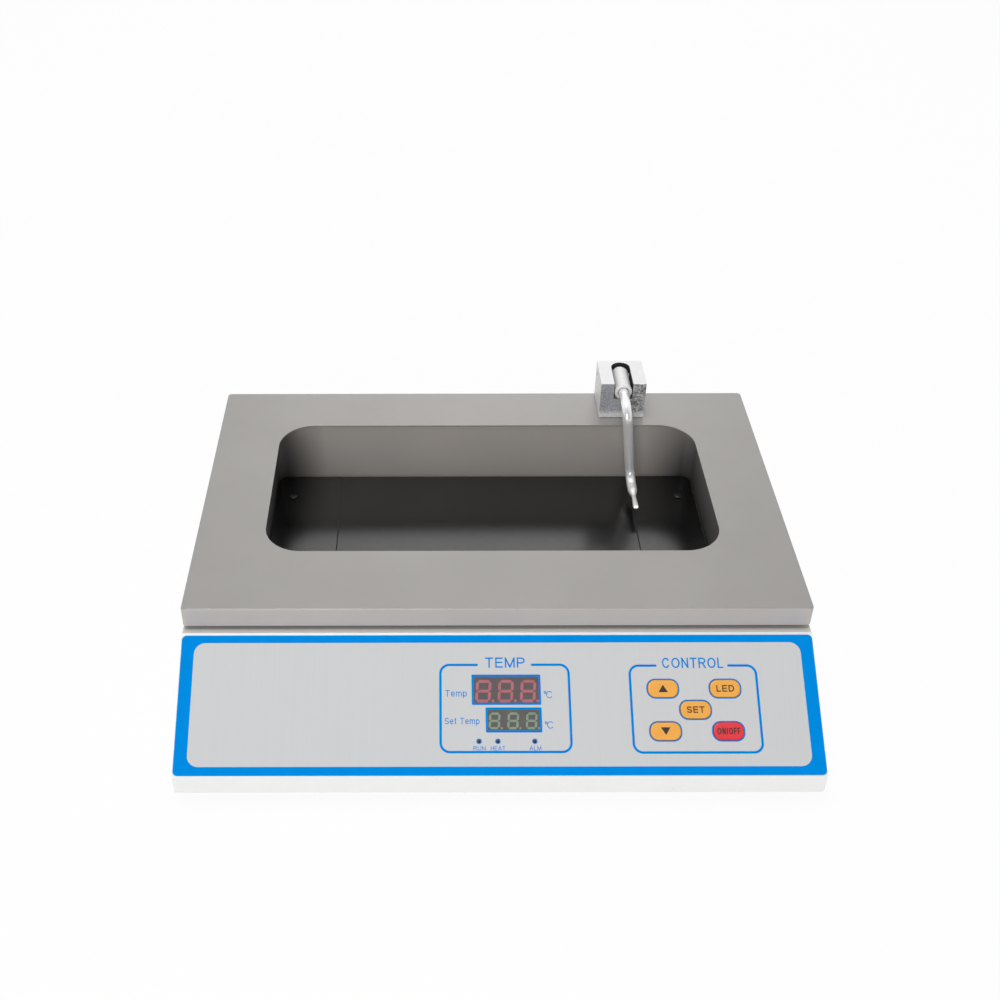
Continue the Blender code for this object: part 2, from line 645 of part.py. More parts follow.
def make_tank():
    """Deep-drawn stainless tank with a flange under the plate."""
    bend = TANK_FLOOR_BEND
    outer = TANK_SHEET
    tank = stack_mesh([
        tank_loop(TANK_BOTTOM_Z, outer - bend),
        tank_loop(TANK_BOTTOM_Z + bend, outer),
        tank_loop(FLANGE_BOTTOM_Z, outer),
        at_height(flange_outline(), FLANGE_BOTTOM_Z),
        at_height(flange_outline(), FLANGE_TOP_Z),
        tank_loop(FLANGE_TOP_Z),
        tank_loop(TANK_FLOOR_Z + bend),
        tank_loop(TANK_FLOOR_Z, -bend)])
    piece = add_piece("water_tank", tank, "tank_steel")
    for name, side in SIDES.items():
        port = prism_mesh([light_port(side)], TANK_BOTTOM_Z - OVERRUN, TANK_FLOOR_Z + OVERRUN)
        cut(piece, add_piece(f"light_port_tool_{name}", port))
    for name, x, y in window_screws():
        hole = rod_mesh(
            WINDOW_SCREW_RADIUS + GAP, (x, y, TANK_BOTTOM_Z - OVERRUN), (x, y, TANK_FLOOR_Z + OVERRUN))
        cut(piece, add_piece(f"tank_hole_tool_{name}", hole))


def floor_panel(low_x, high_x):
    """A stretch of the black floor between two X places, with the tank's round corners."""
    half_y = TANK_HALF_Y - FLOOR_EDGE_CLEARANCE
    half_x = TANK_HALF_X - FLOOR_EDGE_CLEARANCE
    full = rounded_outline(half_x, half_y, TANK_CORNER_RADIUS - FLOOR_EDGE_CLEARANCE, (0, OPENING_MID_Y))
    inside = [(x, y) for x, y in full if low_x < x < high_x]
    corners = []
    for x in (low_x, high_x):
        if abs(x) < half_x:
            corners += [(x, OPENING_MID_Y - half_y), (x, OPENING_MID_Y + half_y)]
    points = inside + corners
    middle_x = sum(x for x, _ in points) / len(points)
    return sorted(points, key=lambda p: math.atan2(p[1] - OPENING_MID_Y, p[0] - middle_x))


def window_screws():
    """Name and place of each screw of the two light windows."""
    for name, side in SIDES.items():
        x = side * (TANK_HALF_X - WINDOW_SCREW_SIDE)
        yield f"window_screw_front_{name}", x, OPENING_MID_Y - TANK_HALF_Y + WINDOW_SCREW_END
        yield f"window_screw_rear_{name}", x, OPENING_MID_Y + TANK_HALF_Y - WINDOW_SCREW_END


def make_floor():
    """Black centre plate with a smoked light window at each end."""
    low = TANK_FLOOR_Z + GAP
    seam_x = FLOOR_CENTRE_WIDTH / 2
    centre = prism_mesh([floor_panel(-seam_x, seam_x)], low, low + FLOOR_THICKNESS)
    add_piece("floor_plate", centre, "black_floor")
    inner_x = seam_x + FLOOR_SEAM
    spans = {"left": (-TANK_HALF_X, -inner_x), "right": (inner_x, TANK_HALF_X)}
    for name, (low_x, high_x) in spans.items():
        holes = [
            circle_outline(WINDOW_SCREW_RADIUS + GAP, (x, y))
            for screw, x, y in window_screws() if screw.endswith(name)]
        window = prism_mesh([floor_panel(low_x, high_x)] + holes, low, low + FLOOR_THICKNESS)
        add_piece(f"light_window_{name}", window, "smoked_window")
    for name, x, y in window_screws():
        head_z = FLOOR_TOP_Z + GAP
        screw = turned_mesh([
            (WINDOW_SCREW_RADIUS, TANK_BOTTOM_Z - WINDOW_SCREW_HEAD),
            (WINDOW_SCREW_RADIUS, head_z),
            (WINDOW_SCREW_HEAD_RADIUS, head_z),
            (WINDOW_SCREW_HEAD_RADIUS, head_z + WINDOW_SCREW_HEAD / 2),
            (WINDOW_SCREW_HEAD_RADIUS / 2, head_z + WINDOW_SCREW_HEAD)], upright(x, y, 0), SMALL_SIDES)
        add_piece(name, screw, "zinc_steel")


def make_heater():
    """Silicone heater mat, its insulation and the thermal cut-out on the tank wall."""
    top = TANK_BOTTOM_Z - GAP
    half_x, half_y = HEATER_WIDTH / 2, HEATER_DEPTH / 2
    middle = (0, OPENING_MID_Y)
    mat = prism_mesh([rounded_outline(half_x, half_y, CHIP_HEIGHT, middle)], top - HEATER_THICKNESS, top)
    add_piece("heater_mat", mat, "silicone_orange")
    pad_top = top - HEATER_THICKNESS - GAP
    inset = INSULATION_INSET
    pad_outline = rounded_outline(half_x - inset, half_y - inset, CHIP_HEIGHT, middle)
    pad = prism_mesh([pad_outline], pad_top - INSULATION_THICKNESS, pad_top)
    add_piece("insulation_pad", pad, "white_foam")
    wall_y = OPENING_MID_Y - TANK_OUTER_Y - GAP
    middle_z = (TANK_BOTTOM_Z + HOUSING_TOP_Z) / 2
    place = Matrix.Translation((0, wall_y, middle_z)) @ Matrix.Rotation(math.pi / 2, 4, "X")
    cutout = turned_mesh([
        (CUTOUT_RADIUS, 0), (CUTOUT_RADIUS, CUTOUT_BODY), (CUTOUT_COLLAR_RADIUS, CUTOUT_BODY),
        (CUTOUT_COLLAR_RADIUS, CUTOUT_BODY + CUTOUT_COLLAR)], place, SMALL_SIDES)
    add_piece("thermal_cutout", cutout, "black_plastic")


def make_light_boards():
    """A strip of lamp chips under each light port."""
    top = TANK_BOTTOM_Z - GAP
    for name, side in SIDES.items():
        board = add_piece(f"light_board_{name}", prism_mesh(
            [light_port(side, LIGHT_BOARD_MARGIN)], top - LIGHT_BOARD_THICKNESS, top), "lamp_white")
        mid_x = side * (FLOOR_CENTRE_WIDTH / 2 + TANK_HALF_X) / 2
        reach = TANK_HALF_Y * LIGHT_PORT_SHARE - LAMP_CHIP_SIDE
        chips = bmesh.new()
        half = LAMP_CHIP_SIDE / 2
        for k in range(LAMP_CHIP_COUNT):
            y = OPENING_MID_Y + reach * (2 * k / (LAMP_CHIP_COUNT - 1) - 1)
            low = (mid_x - half, y - half, top - LIGHT_BOARD_THICKNESS / 2)
            box_mesh(low, (mid_x + half, y + half, top + LAMP_CHIP_HEIGHT), chips)
        fuse(board, add_piece(f"lamp_chips_tool_{name}", chips))


def make_plate_rails():
    """Angle strips on the case top that carry the tank flange and locate the plate."""
    low, high = HOUSING_TOP_Z + GAP, FLANGE_BOTTOM_Z - GAP
    outer_x = PLATE_WIDTH / 2 - PLATE_SHEET - RAIL_SIDE_GAP
    inner_x = outer_x - RAIL_WIDTH
    front, back = PLATE_FRONT_Y + RAIL_END_GAP, PLATE_BACK_Y - RAIL_END_GAP
    rail_outline = [
        (inner_x, high), (inner_x, high - RAIL_THICKNESS),
        (inner_x + RAIL_WIDTH / 2, high - RAIL_THICKNESS), (inner_x + RAIL_WIDTH / 2, low),
        (outer_x, low), (outer_x, low + RAIL_THICKNESS),
        (inner_x + RAIL_WIDTH / 2 + RAIL_THICKNESS, low + RAIL_THICKNESS),
        (inner_x + RAIL_WIDTH / 2 + RAIL_THICKNESS, high)]
    for name, side in SIDES.items():
        bm = prism_mesh([[(side * x, z) for x, z in rail_outline]], -back, -front)
        bm.transform(Matrix.Rotation(math.pi / 2, 4, "X"))
        rail = add_piece(f"plate_rail_{name}", bm, "zinc_steel")
        for number, (x, y) in enumerate(stud_places(), 1):
            if x * side > 0:
                hole = rod_mesh(STUD_RADIUS + GAP, (x, y, low - OVERRUN), (x, y, low + 2 * OVERRUN))
                cut(rail, add_piece(f"rail_hole_tool_{name}_{number}", hole))


def housing_profile(inset=0.0):
    """Side outline of the case as (y, z), moved inwards by a distance."""
    slope = inset * math.tan((math.pi / 2 - PANEL_ANGLE) / 2)
    ridge = inset * math.tan(PANEL_ANGLE / 2)
    return [
        (FRONT_Y + inset, BASE_Z),
        (FRONT_Y + inset, BASE_Z + FRONT_LIP_HEIGHT - slope),
        (PANEL_TOP_Y + ridge, HOUSING_TOP_Z - inset),
        (HOUSING_BACK_Y - inset, HOUSING_TOP_Z - inset),
        (HOUSING_BACK_Y - inset, BASE_Z)]


def shell_block():
    """The case as a full block with rounded edges, but for those on its underside."""
    bm = side_extrusion(housing_profile(), -HALF_WIDTH, HALF_WIDTH)
    bmesh.ops.dissolve_limit(bm, angle_limit=math.radians(1), verts=bm.verts, edges=bm.edges)
    upper = [
        edge for edge in bm.edges
        if max(vert.co.z for vert in edge.verts) > BASE_Z + FRONT_LIP_HEIGHT / 2]
    bmesh.ops.bevel(
        bm, geom=upper, offset=HOUSING_EDGE_RADIUS, offset_type="OFFSET", segments=3,
        profile=0.5, affect="EDGES", clamp_overlap=True)
    return bm


def foot_places():
    for name, (side, y) in FEET.items():
        yield name, side * FOOT_X, y


def make_housing():
    """Folded white case, open below and around the tank, with panel, stud and vent holes."""
    housing = add_piece("housing_shell", shell_block(), "white_paint")
    half_x = HALF_WIDTH - SHEET
    flange_top = FLANGE_UNDER_Z + SHEET
    hollow = [(y, max(z, flange_top)) for y, z in housing_profile(SHEET)]
    cut(housing, add_piece("case_hollow_tool", side_extrusion(hollow, -half_x, half_x)))
    below = BASE_Z - OVERRUN
    front, back = FRONT_Y + SHEET, HOUSING_BACK_Y - SHEET
    recess = box_mesh((-half_x, front, below), (half_x, back, FLANGE_UNDER_Z))
    cut(housing, add_piece("base_recess_tool", recess))
    window_middle = (0, (front + back) / 2)
    outline = rounded_outline(half_x - BASE_FLANGE, (back - front) / 2 - BASE_FLANGE, BASE_GUSSET,
                              window_middle, 1)
    window = prism_mesh([outline], below, flange_top + OVERRUN)
    cut(housing, add_piece("base_window_tool", window))
    grow = TANK_SHEET + TANK_CLEARANCE
    tank_way = prism_mesh([[(x, y) for x, y, _ in tank_loop(0, grow)]],
                          HOUSING_TOP_Z - SHEET - OVERRUN, HOUSING_TOP_Z + OVERRUN)
    cut(housing, add_piece("tank_way_tool", tank_way))
    cut(housing, panel_holes_tool())
    holes = bmesh.new()
    for x, y in stud_places():
        rod_mesh(STUD_RADIUS + GAP, (x, y, HOUSING_TOP_Z - 2 * OVERRUN), (x, y, HOUSING_TOP_Z + OVERRUN),
                 bm=holes)
    for _, x, y in foot_places():
        rod_mesh(FOOT_SCREW_RADIUS + GAP, (x, y, BASE_Z), (x, y, flange_top + OVERRUN), bm=holes)
    cut(housing, add_piece("case_round_holes_tool", holes))
    cut(housing, rear_openings_tool())


def panel_holes_tool():
    """Holes in the sloping sheet for keys, displays and lamps."""
    low, high = -SHEET - OVERRUN, OVERRUN
    holes = bmesh.new()
    for x, down in KEYS.values():
        size = 2 * KEY_CLEARANCE
        prism_mesh([capsule_outline(KEY_WIDTH + size, KEY_HEIGHT + size, (x, -down))], low, high, holes)
    for x, down, width, height in WINDOWS.values():
        low_corner = (x - width / 2 + DISPLAY_INSET - GAP, -down - height / 2 + DISPLAY_INSET - GAP, low)
        high_corner = (x + width / 2 - DISPLAY_INSET + GAP, height / 2 - down - DISPLAY_INSET + GAP, high)
        box_mesh(low_corner, high_corner, holes)
    for x in LAMP_XS.values():
        rod_mesh(LAMP_RADIUS + GAP, (x, -LAMP_DOWN, low), (x, -LAMP_DOWN, high), bm=holes)
    return add_piece("panel_holes_tool", holes, place=PANEL_PLACE)


def rear_openings_tool():
    """Mains inlet cut-out and vent slots in the rear wall."""
    front, back = HOUSING_BACK_Y - SHEET - OVERRUN, HOUSING_BACK_Y + OVERRUN
    half_x = INLET_BODY_WIDTH / 2 + GAP
    half_z = INLET_BODY_HEIGHT / 2 + GAP
    tool = box_mesh((INLET_X - half_x, front, INLET_Z - half_z), (INLET_X + half_x, back, INLET_Z + half_z))
    middle_z = BASE_Z + HOUSING_HEIGHT * REAR_VENT_HEIGHT_SHARE
    for k in range(REAR_VENT_COUNT):
        x = REAR_VENT_X + VENT_PITCH * (k - (REAR_VENT_COUNT - 1) / 2)
        box_mesh((x - VENT_WIDTH / 2, front, middle_z - VENT_LENGTH / 2),
                 (x + VENT_WIDTH / 2, back, middle_z + VENT_LENGTH / 2), tool)
    return add_piece("rear_openings_tool", tool)


def make_base():
    """Flat base sheet with vent slots, held by the foot screws."""
    half_x = HALF_WIDTH - SHEET - GAP
    front, back = FRONT_Y + SHEET + GAP, HOUSING_BACK_Y - SHEET - GAP
    outer = rounded_outline(half_x, (back - front) / 2, SHEET, (0, (front + back) / 2), 2)
    holes = [circle_outline(FOOT_SCREW_RADIUS + GAP, (x, y)) for _, x, y in foot_places()]
    for side in SIDES.values():
        for k in range(BASE_VENT_COUNT):
            x = side * BASE_VENT_X + VENT_PITCH * (k - (BASE_VENT_COUNT - 1) / 2)
            holes.append(rounded_outline(
                VENT_WIDTH / 2, VENT_LENGTH / 2, VENT_WIDTH / 4, (x, OPENING_MID_Y + BASE_VENT_Y), 1))
    add_piece("base_plate", prism_mesh([outer] + holes, BASE_Z, BASE_Z + SHEET), "zinc_steel")


def make_feet():
    """Rubber feet with a screw up through the base and the case flange."""
    top = BASE_Z - GAP
    hole = FOOT_SCREW_RADIUS + GAP
    screw_top = FLANGE_UNDER_Z + SHEET + FOOT_SCREW_ABOVE
    head_low = FOOT_WELL_DEPTH - GAP - FOOT_SCREW_HEAD
    for name, x, y in foot_places():
        profile = [
            (FOOT_RADIUS - FOOT_TAPER, 0), (FOOT_RADIUS, top), (hole, top),
            (hole, FOOT_WELL_DEPTH), (FOOT_WELL_RADIUS, FOOT_WELL_DEPTH), (FOOT_WELL_RADIUS, 0)]
        loops = [at_height(circle_outline(radius, (x, y), ROUND_SIDES), z) for radius, z in profile]
        add_piece(f"foot_{name}", stack_mesh(loops, closed=True), "black_rubber")
        screw = turned_mesh([
            (FOOT_SCREW_HEAD_RADIUS * 0.7, head_low),
            (FOOT_SCREW_HEAD_RADIUS, head_low + FOOT_SCREW_HEAD / 2),
            (FOOT_SCREW_HEAD_RADIUS, head_low + FOOT_SCREW_HEAD),
            (FOOT_SCREW_RADIUS, head_low + FOOT_SCREW_HEAD), (FOOT_SCREW_RADIUS, screw_top)],
            upright(x, y, 0), SMALL_SIDES)
        add_piece(f"foot_screw_{name}", screw, "zinc_steel")


def make_film():
    """Printed panel film with holes for keys, displays and lamps."""
    half_x = HALF_WIDTH - FILM_SIDE_MARGIN
    height = PANEL_LENGTH - FILM_TOP_MARGIN - FILM_BOTTOM_MARGIN
    outer = rounded_outline(
        half_x, height / 2, FILM_CORNER_RADIUS, (0, -FILM_TOP_MARGIN - height / 2), CORNER_STEPS // 2)
    holes = []
    for x, down in KEYS.values():
        size = 2 * KEY_CLEARANCE
        holes.append(capsule_outline(KEY_WIDTH + size, KEY_HEIGHT + size, (x, -down)))
    for x, down, width, height in WINDOWS.values():
        holes.append(rounded_outline(width / 2, height / 2, WINDOW_FIT, (x, -down), 1))
    for x in LAMP_XS.values():
        holes.append(circle_outline(LAMP_RADIUS + GAP, (x, -LAMP_DOWN)))
    add_piece("panel_film", prism_mesh([outer] + holes, FILM_UNDER, FILM_TOP), "panel_film", PANEL_PLACE)


def make_displays():
    """A tinted window in the film and a digit module behind it, twice."""
    tints = {"temp": "red_window", "set": "green_window"}
    for name, (x, down, width, height) in WINDOWS.items():
        half_x, half_y = width / 2 - WINDOW_FIT, height / 2 - WINDOW_FIT
        outline = rounded_outline(half_x, half_y, WINDOW_FIT, (x, -down), 1)
        window = prism_mesh([outline], FILM_UNDER, FILM_TOP)
        add_piece(f"{name}_window", window, tints[name], PANEL_PLACE)
        half_x, half_y = width / 2 - DISPLAY_INSET, height / 2 - DISPLAY_INSET
        module = box_mesh((x - half_x, -down - half_y, DISPLAY_TOP - DISPLAY_THICKNESS),
                          (x + half_x, half_y - down, DISPLAY_TOP))
        add_piece(f"{name}_display", module, "display_body", PANEL_PLACE)


def make_keys():
    """Five key caps that slide through the film and the sheet."""
    for name, (x, down) in KEYS.items():
        top = FILM_TOP + KEY_PROUD
        inset = KEY_EDGE_RADIUS
        full = capsule_outline(KEY_WIDTH, KEY_HEIGHT)
        crown = capsule_outline(KEY_WIDTH - 2 * inset, KEY_HEIGHT - 2 * inset)
        mid = capsule_outline(KEY_WIDTH - inset * 0.6, KEY_HEIGHT - inset * 0.6)
        rim = capsule_outline(KEY_WIDTH + 2 * KEY_FLANGE, KEY_HEIGHT + 2 * KEY_FLANGE)
        rim_top = -SHEET - GAP
        cap = stack_mesh([
            at_height(rim, KEY_BOTTOM), at_height(rim, rim_top),
            at_height(full, rim_top), at_height(full, top - inset),
            at_height(mid, top - inset * 0.3), at_height(crown, top)])
        colour = "red_key" if name == "key_power" else "orange_key"
        add_piece(name, cap, colour, PANEL_PLACE @ Matrix.Translation((x, -down, 0)))


def make_lamps():
    """Three indicator lamps, each on the board and showing through the film."""
    for name, x in LAMP_XS.items():
        low = BOARD_TOP + GAP
        lamp = turned_mesh([
            (LAMP_FLANGE_RADIUS, low), (LAMP_FLANGE_RADIUS, low + LAMP_FLANGE),
            (LAMP_RADIUS, low + LAMP_FLANGE), (LAMP_RADIUS, FILM_TOP),
            (LAMP_RADIUS * 0.7, FILM_TOP + LAMP_PROUD * 0.75), (LAMP_RADIUS * 0.25, FILM_TOP + LAMP_PROUD)],
            upright(x, -LAMP_DOWN, 0), SMALL_SIDES)
        add_piece(name, lamp, "lamp_red", PANEL_PLACE)


def board_corners():
    """Places of the four posts that hold the control board."""
    for side_name, x in (("left", -BOARD_LEFT + POST_EDGE), ("right", BOARD_RIGHT - POST_EDGE)):
        yield f"board_post_upper_{side_name}", x, BOARD_TOP_DOWN + POST_EDGE
        yield f"board_post_lower_{side_name}", x, BOARD_BOTTOM_DOWN - POST_EDGE


def make_control_board():
    """Circuit board with a switch under every key and a main chip behind it."""
    bottom = BOARD_TOP - BOARD_THICKNESS
    board = add_piece("control_board", box_mesh(
        (-BOARD_LEFT, -BOARD_BOTTOM_DOWN, bottom), (BOARD_RIGHT, -BOARD_TOP_DOWN, BOARD_TOP)),
        "circuit_green", PANEL_PLACE)
    switches = bmesh.new()
    plungers = bmesh.new()
    seat = BOARD_TOP - BOARD_THICKNESS / 2
    half = SWITCH_SIDE / 2
    for x, down in KEYS.values():
        box_mesh((x - half, -down - half, seat), (x + half, half - down, BOARD_TOP + SWITCH_BODY), switches)
        rod_mesh(SWITCH_PLUNGER_RADIUS, (x, -down, BOARD_TOP + SWITCH_BODY / 2), (x, -down, SWITCH_TOP),
                 bm=plungers)
    fuse(board, add_piece("switch_bodies_tool", switches, place=PANEL_PLACE))
    fuse(board, add_piece("switch_plungers_tool", plungers, place=PANEL_PLACE))
    chip_x = (BOARD_RIGHT - BOARD_LEFT) / 2
    chip_down = (BOARD_TOP_DOWN + BOARD_BOTTOM_DOWN) / 2
    half = CHIP_SIDE / 2
    chip = box_mesh((chip_x - half, -chip_down - half, bottom - CHIP_HEIGHT),
                    (chip_x + half, half - chip_down, seat))
    fuse(board, add_piece("main_chip_tool", chip, place=PANEL_PLACE))
    for name, x, down in board_corners():
        post = rod_mesh(POST_RADIUS, (x, -down, BOARD_TOP + GAP), (x, -down, -SHEET - GAP), 6)
        add_piece(name, post, "zinc_steel", PANEL_PLACE)


def make_power_board():
    """Board on four posts, with capacitors, terminals and transformer, and a heat sink."""
    half_x, half_y = POWER_WIDTH / 2, POWER_DEPTH / 2
    board = add_piece("power_board", box_mesh(
        (POWER_X - half_x, POWER_FRONT_Y, POWER_BOARD_Z),
        (POWER_X + half_x, POWER_FRONT_Y + POWER_DEPTH, POWER_TOP_Z)), "circuit_green")
    seat = POWER_BOARD_Z + BOARD_THICKNESS / 2
    posts = bmesh.new()
    for sign_x in (-1, 1):
        for sign_y in (-1, 1):
            x = POWER_X + sign_x * (half_x - POWER_POST_EDGE)
            y = POWER_MID_Y + sign_y * (half_y - POWER_POST_EDGE)
            rod_mesh(POWER_POST_RADIUS, (x, y, POWER_BOARD_Z - POWER_POST), (x, y, seat), 8, posts)
    fuse(board, add_piece("power_posts_tool", posts))
    parts = bmesh.new()
    for k in (-1, 1):
        x = POWER_X + k * CAPACITOR_RADIUS * 1.3
        y = POWER_MID_Y - half_y / 2
        rod_mesh(CAPACITOR_RADIUS, (x, y, seat), (x, y, POWER_TOP_Z + CAPACITOR_HEIGHT), bm=parts)
    for low_x, low_y in ((POWER_X - half_x, POWER_MID_Y), (POWER_X - TERMINAL_WIDTH / 2, terminal_y())):
        low_x += POWER_POST_EDGE / 2
        box_mesh((low_x, low_y, seat), (low_x + TERMINAL_WIDTH, low_y + TERMINAL_DEPTH,
                                        POWER_TOP_Z + TERMINAL_HEIGHT), parts)
    fuse(board, add_piece("power_parts_tool", parts))
    add_transformer(board)
    make_heat_sink()


def terminal_y():
    """Front face of the output terminal on the power board."""
    return POWER_FRONT_Y + POWER_DEPTH - 2 * TERMINAL_DEPTH


def add_transformer(board):
    """Mains transformer, soldered to the power board."""
    x = POWER_X + TRANSFORMER_X_SHARE * POWER_WIDTH
    y = POWER_MID_Y - POWER_DEPTH / 4
    low = POWER_TOP_Z - BOARD_THICKNESS / 2
    half_x, half_y = TRANSFORMER_WIDTH / 2, TRANSFORMER_DEPTH / 2
    core = add_piece("transformer_core_tool", box_mesh(
        (x - half_x, y - half_y / 2, low), (x + half_x, y + half_y / 2, low + TRANSFORMER_HEIGHT)))
    half_coil = TRANSFORMER_COIL_WIDTH / 2
    coil_top = low + TRANSFORMER_COIL_HEIGHT
    coil_low = POWER_TOP_Z + TRANSFORMER_HEIGHT / 4
    coil_outline = rounded_outline(half_coil, half_y, CHIP_HEIGHT, (x, y), 2)
    coil = prism_mesh([coil_outline], coil_low, coil_top)
    fuse(board, core, add_piece("transformer_coil_tool", coil))


def make_heat_sink():
    """Finned sink for the heater switch."""
    x = POWER_X + SINK_X_SHARE * POWER_WIDTH
    y = POWER_MID_Y - POWER_DEPTH / 4
    low = POWER_TOP_Z + GAP
    half_x, half_y = SINK_WIDTH / 2, SINK_DEPTH / 2
    sink = add_piece("heat_sink", box_mesh(
        (x - half_x, y - half_y, low), (x + half_x, y - half_y + SINK_BASE, low + SINK_HEIGHT)),
        "milled_aluminium")
    fins = bmesh.new()
    for k in range(SINK_FIN_COUNT):
        fin_x = x - half_x + (SINK_WIDTH - SINK_FIN) * k / (SINK_FIN_COUNT - 1)
        box_mesh((fin_x, y - half_y + SINK_BASE / 2, low), (fin_x + SINK_FIN, y + half_y, low + SINK_HEIGHT),
                 fins)
    fuse(sink, add_piece("sink_fins_tool", fins))


def socket_outline():
    """Mains socket with its two lower corners cut, as (x, z) about the inlet's middle."""
    half_x, half_z = SOCKET_WIDTH / 2, SOCKET_HEIGHT / 2
    top, bottom = SOCKET_UP + half_z, SOCKET_UP - half_z
    return [
        (half_x, top), (-half_x, top), (-half_x, bottom + SOCKET_CHAMFER),
        (-half_x + SOCKET_CHAMFER, bottom), (half_x - SOCKET_CHAMFER, bottom),
        (half_x, bottom + SOCKET_CHAMFER)]


def rear_place():
    """Local X to the right, Y up and Z out of the rear wall, as one stands before it."""
    turn = Matrix(((-1, 0, 0, 0), (0, 0, 1, 0), (0, 1, 0, 0), (0, 0, 0, 1)))
    return Matrix.Translation((INLET_X, HOUSING_BACK_Y, INLET_Z)) @ turn


def make_inlet():
    """Moulded mains inlet: face, body, socket recess with its pins, and a fuse pocket."""
    place = rear_place()
    face_low, face_high = GAP, GAP + INLET_FACE
    body_back = GAP - INLET_BODY_DEPTH
    face = prism_mesh([rounded_outline(
        INLET_FACE_WIDTH / 2, INLET_FACE_HEIGHT / 2, INLET_FACE_RADIUS, steps=3)], face_low, face_high)
    face.transform(place)
    inlet = add_piece("mains_inlet", face, "black_plastic")
    body = box_mesh((-INLET_BODY_WIDTH / 2, -INLET_BODY_HEIGHT / 2, body_back),
                    (INLET_BODY_WIDTH / 2, INLET_BODY_HEIGHT / 2, (face_low + face_high) / 2))
    body.transform(place)
    fuse(inlet, add_piece("inlet_body_tool", body))
    socket_floor = face_high - SOCKET_DEPTH
    socket = prism_mesh([socket_outline()], socket_floor, face_high + OVERRUN)
    socket.transform(place)
    cut(inlet, add_piece("socket_tool", socket))
    half_x, half_y = DRAWER_WIDTH / 2 + GAP, DRAWER_HEIGHT / 2 + GAP
    pocket_floor = face_high - DRAWER_DEPTH - GAP
    pocket = box_mesh((-half_x, -DRAWER_DOWN - half_y, pocket_floor),
                      (half_x, half_y - DRAWER_DOWN, face_high + OVERRUN))
    pocket.transform(place)
    cut(inlet, add_piece("fuse_pocket_tool", pocket))
    pins = bmesh.new()
    for x, drop in ((-PIN_PITCH, 0), (PIN_PITCH, 0), (0, PIN_EARTH_DROP)):
        y = SOCKET_UP + PIN_EARTH_DROP / 2 - drop
        box_mesh((x - PIN_WIDTH / 2, y - PIN_HEIGHT / 2, socket_floor - SHEET),
                 (x + PIN_WIDTH / 2, y + PIN_HEIGHT / 2, socket_floor + PIN_LENGTH), pins)
    pins.transform(place)
    fuse(inlet, add_piece("socket_pins_tool", pins))
    make_fuse_drawer(face_high, place)


def make_fuse_drawer(face_high, place):
    """Drawer that slides out of the inlet to the rear."""
    half_x, half_y = DRAWER_WIDTH / 2, DRAWER_HEIGHT / 2
    body = box_mesh((-half_x, -half_y, face_high - DRAWER_DEPTH), (half_x, half_y, face_high))
    middle = place @ Matrix.Translation((0, -DRAWER_DOWN, 0))
    drawer = add_piece("fuse_drawer", body, "black_plastic", middle)
    grip_x = half_x / 2
    grip = box_mesh((-grip_x, half_y / 2 - DRAWER_GRIP, face_high - DRAWER_FACE),
                    (grip_x, half_y + OVERRUN, face_high + OVERRUN))
    cut(drawer, add_piece("drawer_grip_tool", grip, place=middle))
    tray = box_mesh((SHEET - half_x, SHEET - half_y, SHEET + face_high - DRAWER_DEPTH),
                    (half_x - SHEET, half_y + OVERRUN, face_high - 2 * DRAWER_FACE))
    cut(drawer, add_piece("drawer_tray_tool", tray, place=middle))


def block_screw_places():
    for name, sign in SIDES.items():
        yield name, BLOCK_X + sign * BLOCK_SCREW_PITCH / 2, BLOCK_MID_Y + BLOCK_SCREW_BACK


def block_screw_tools(label):
    for name, x, y in block_screw_places():
        tip = BLOCK_BOTTOM_Z + BLOCK_SCREW_LENGTH + GAP
        hole = rod_mesh(BLOCK_SCREW_RADIUS + PIVOT_FIT, (x, y, PLATE_UNDER_Z - OVERRUN), (x, y, tip))
        yield add_piece(f"{label}_{name}", hole)


def lead_hole_tool(label):
    """Way for the probe lead, from the slot down through the plate."""
    top = BLOCK_BOTTOM_Z + SLOT_FLOOR + OVERRUN
    hole = rod_mesh(LEAD_HOLE_RADIUS + GAP, (BLOCK_X, LEAD_HOLE_Y, PLATE_UNDER_Z - OVERRUN),
                    (BLOCK_X, LEAD_HOLE_Y, top))
    return add_piece(label, hole)


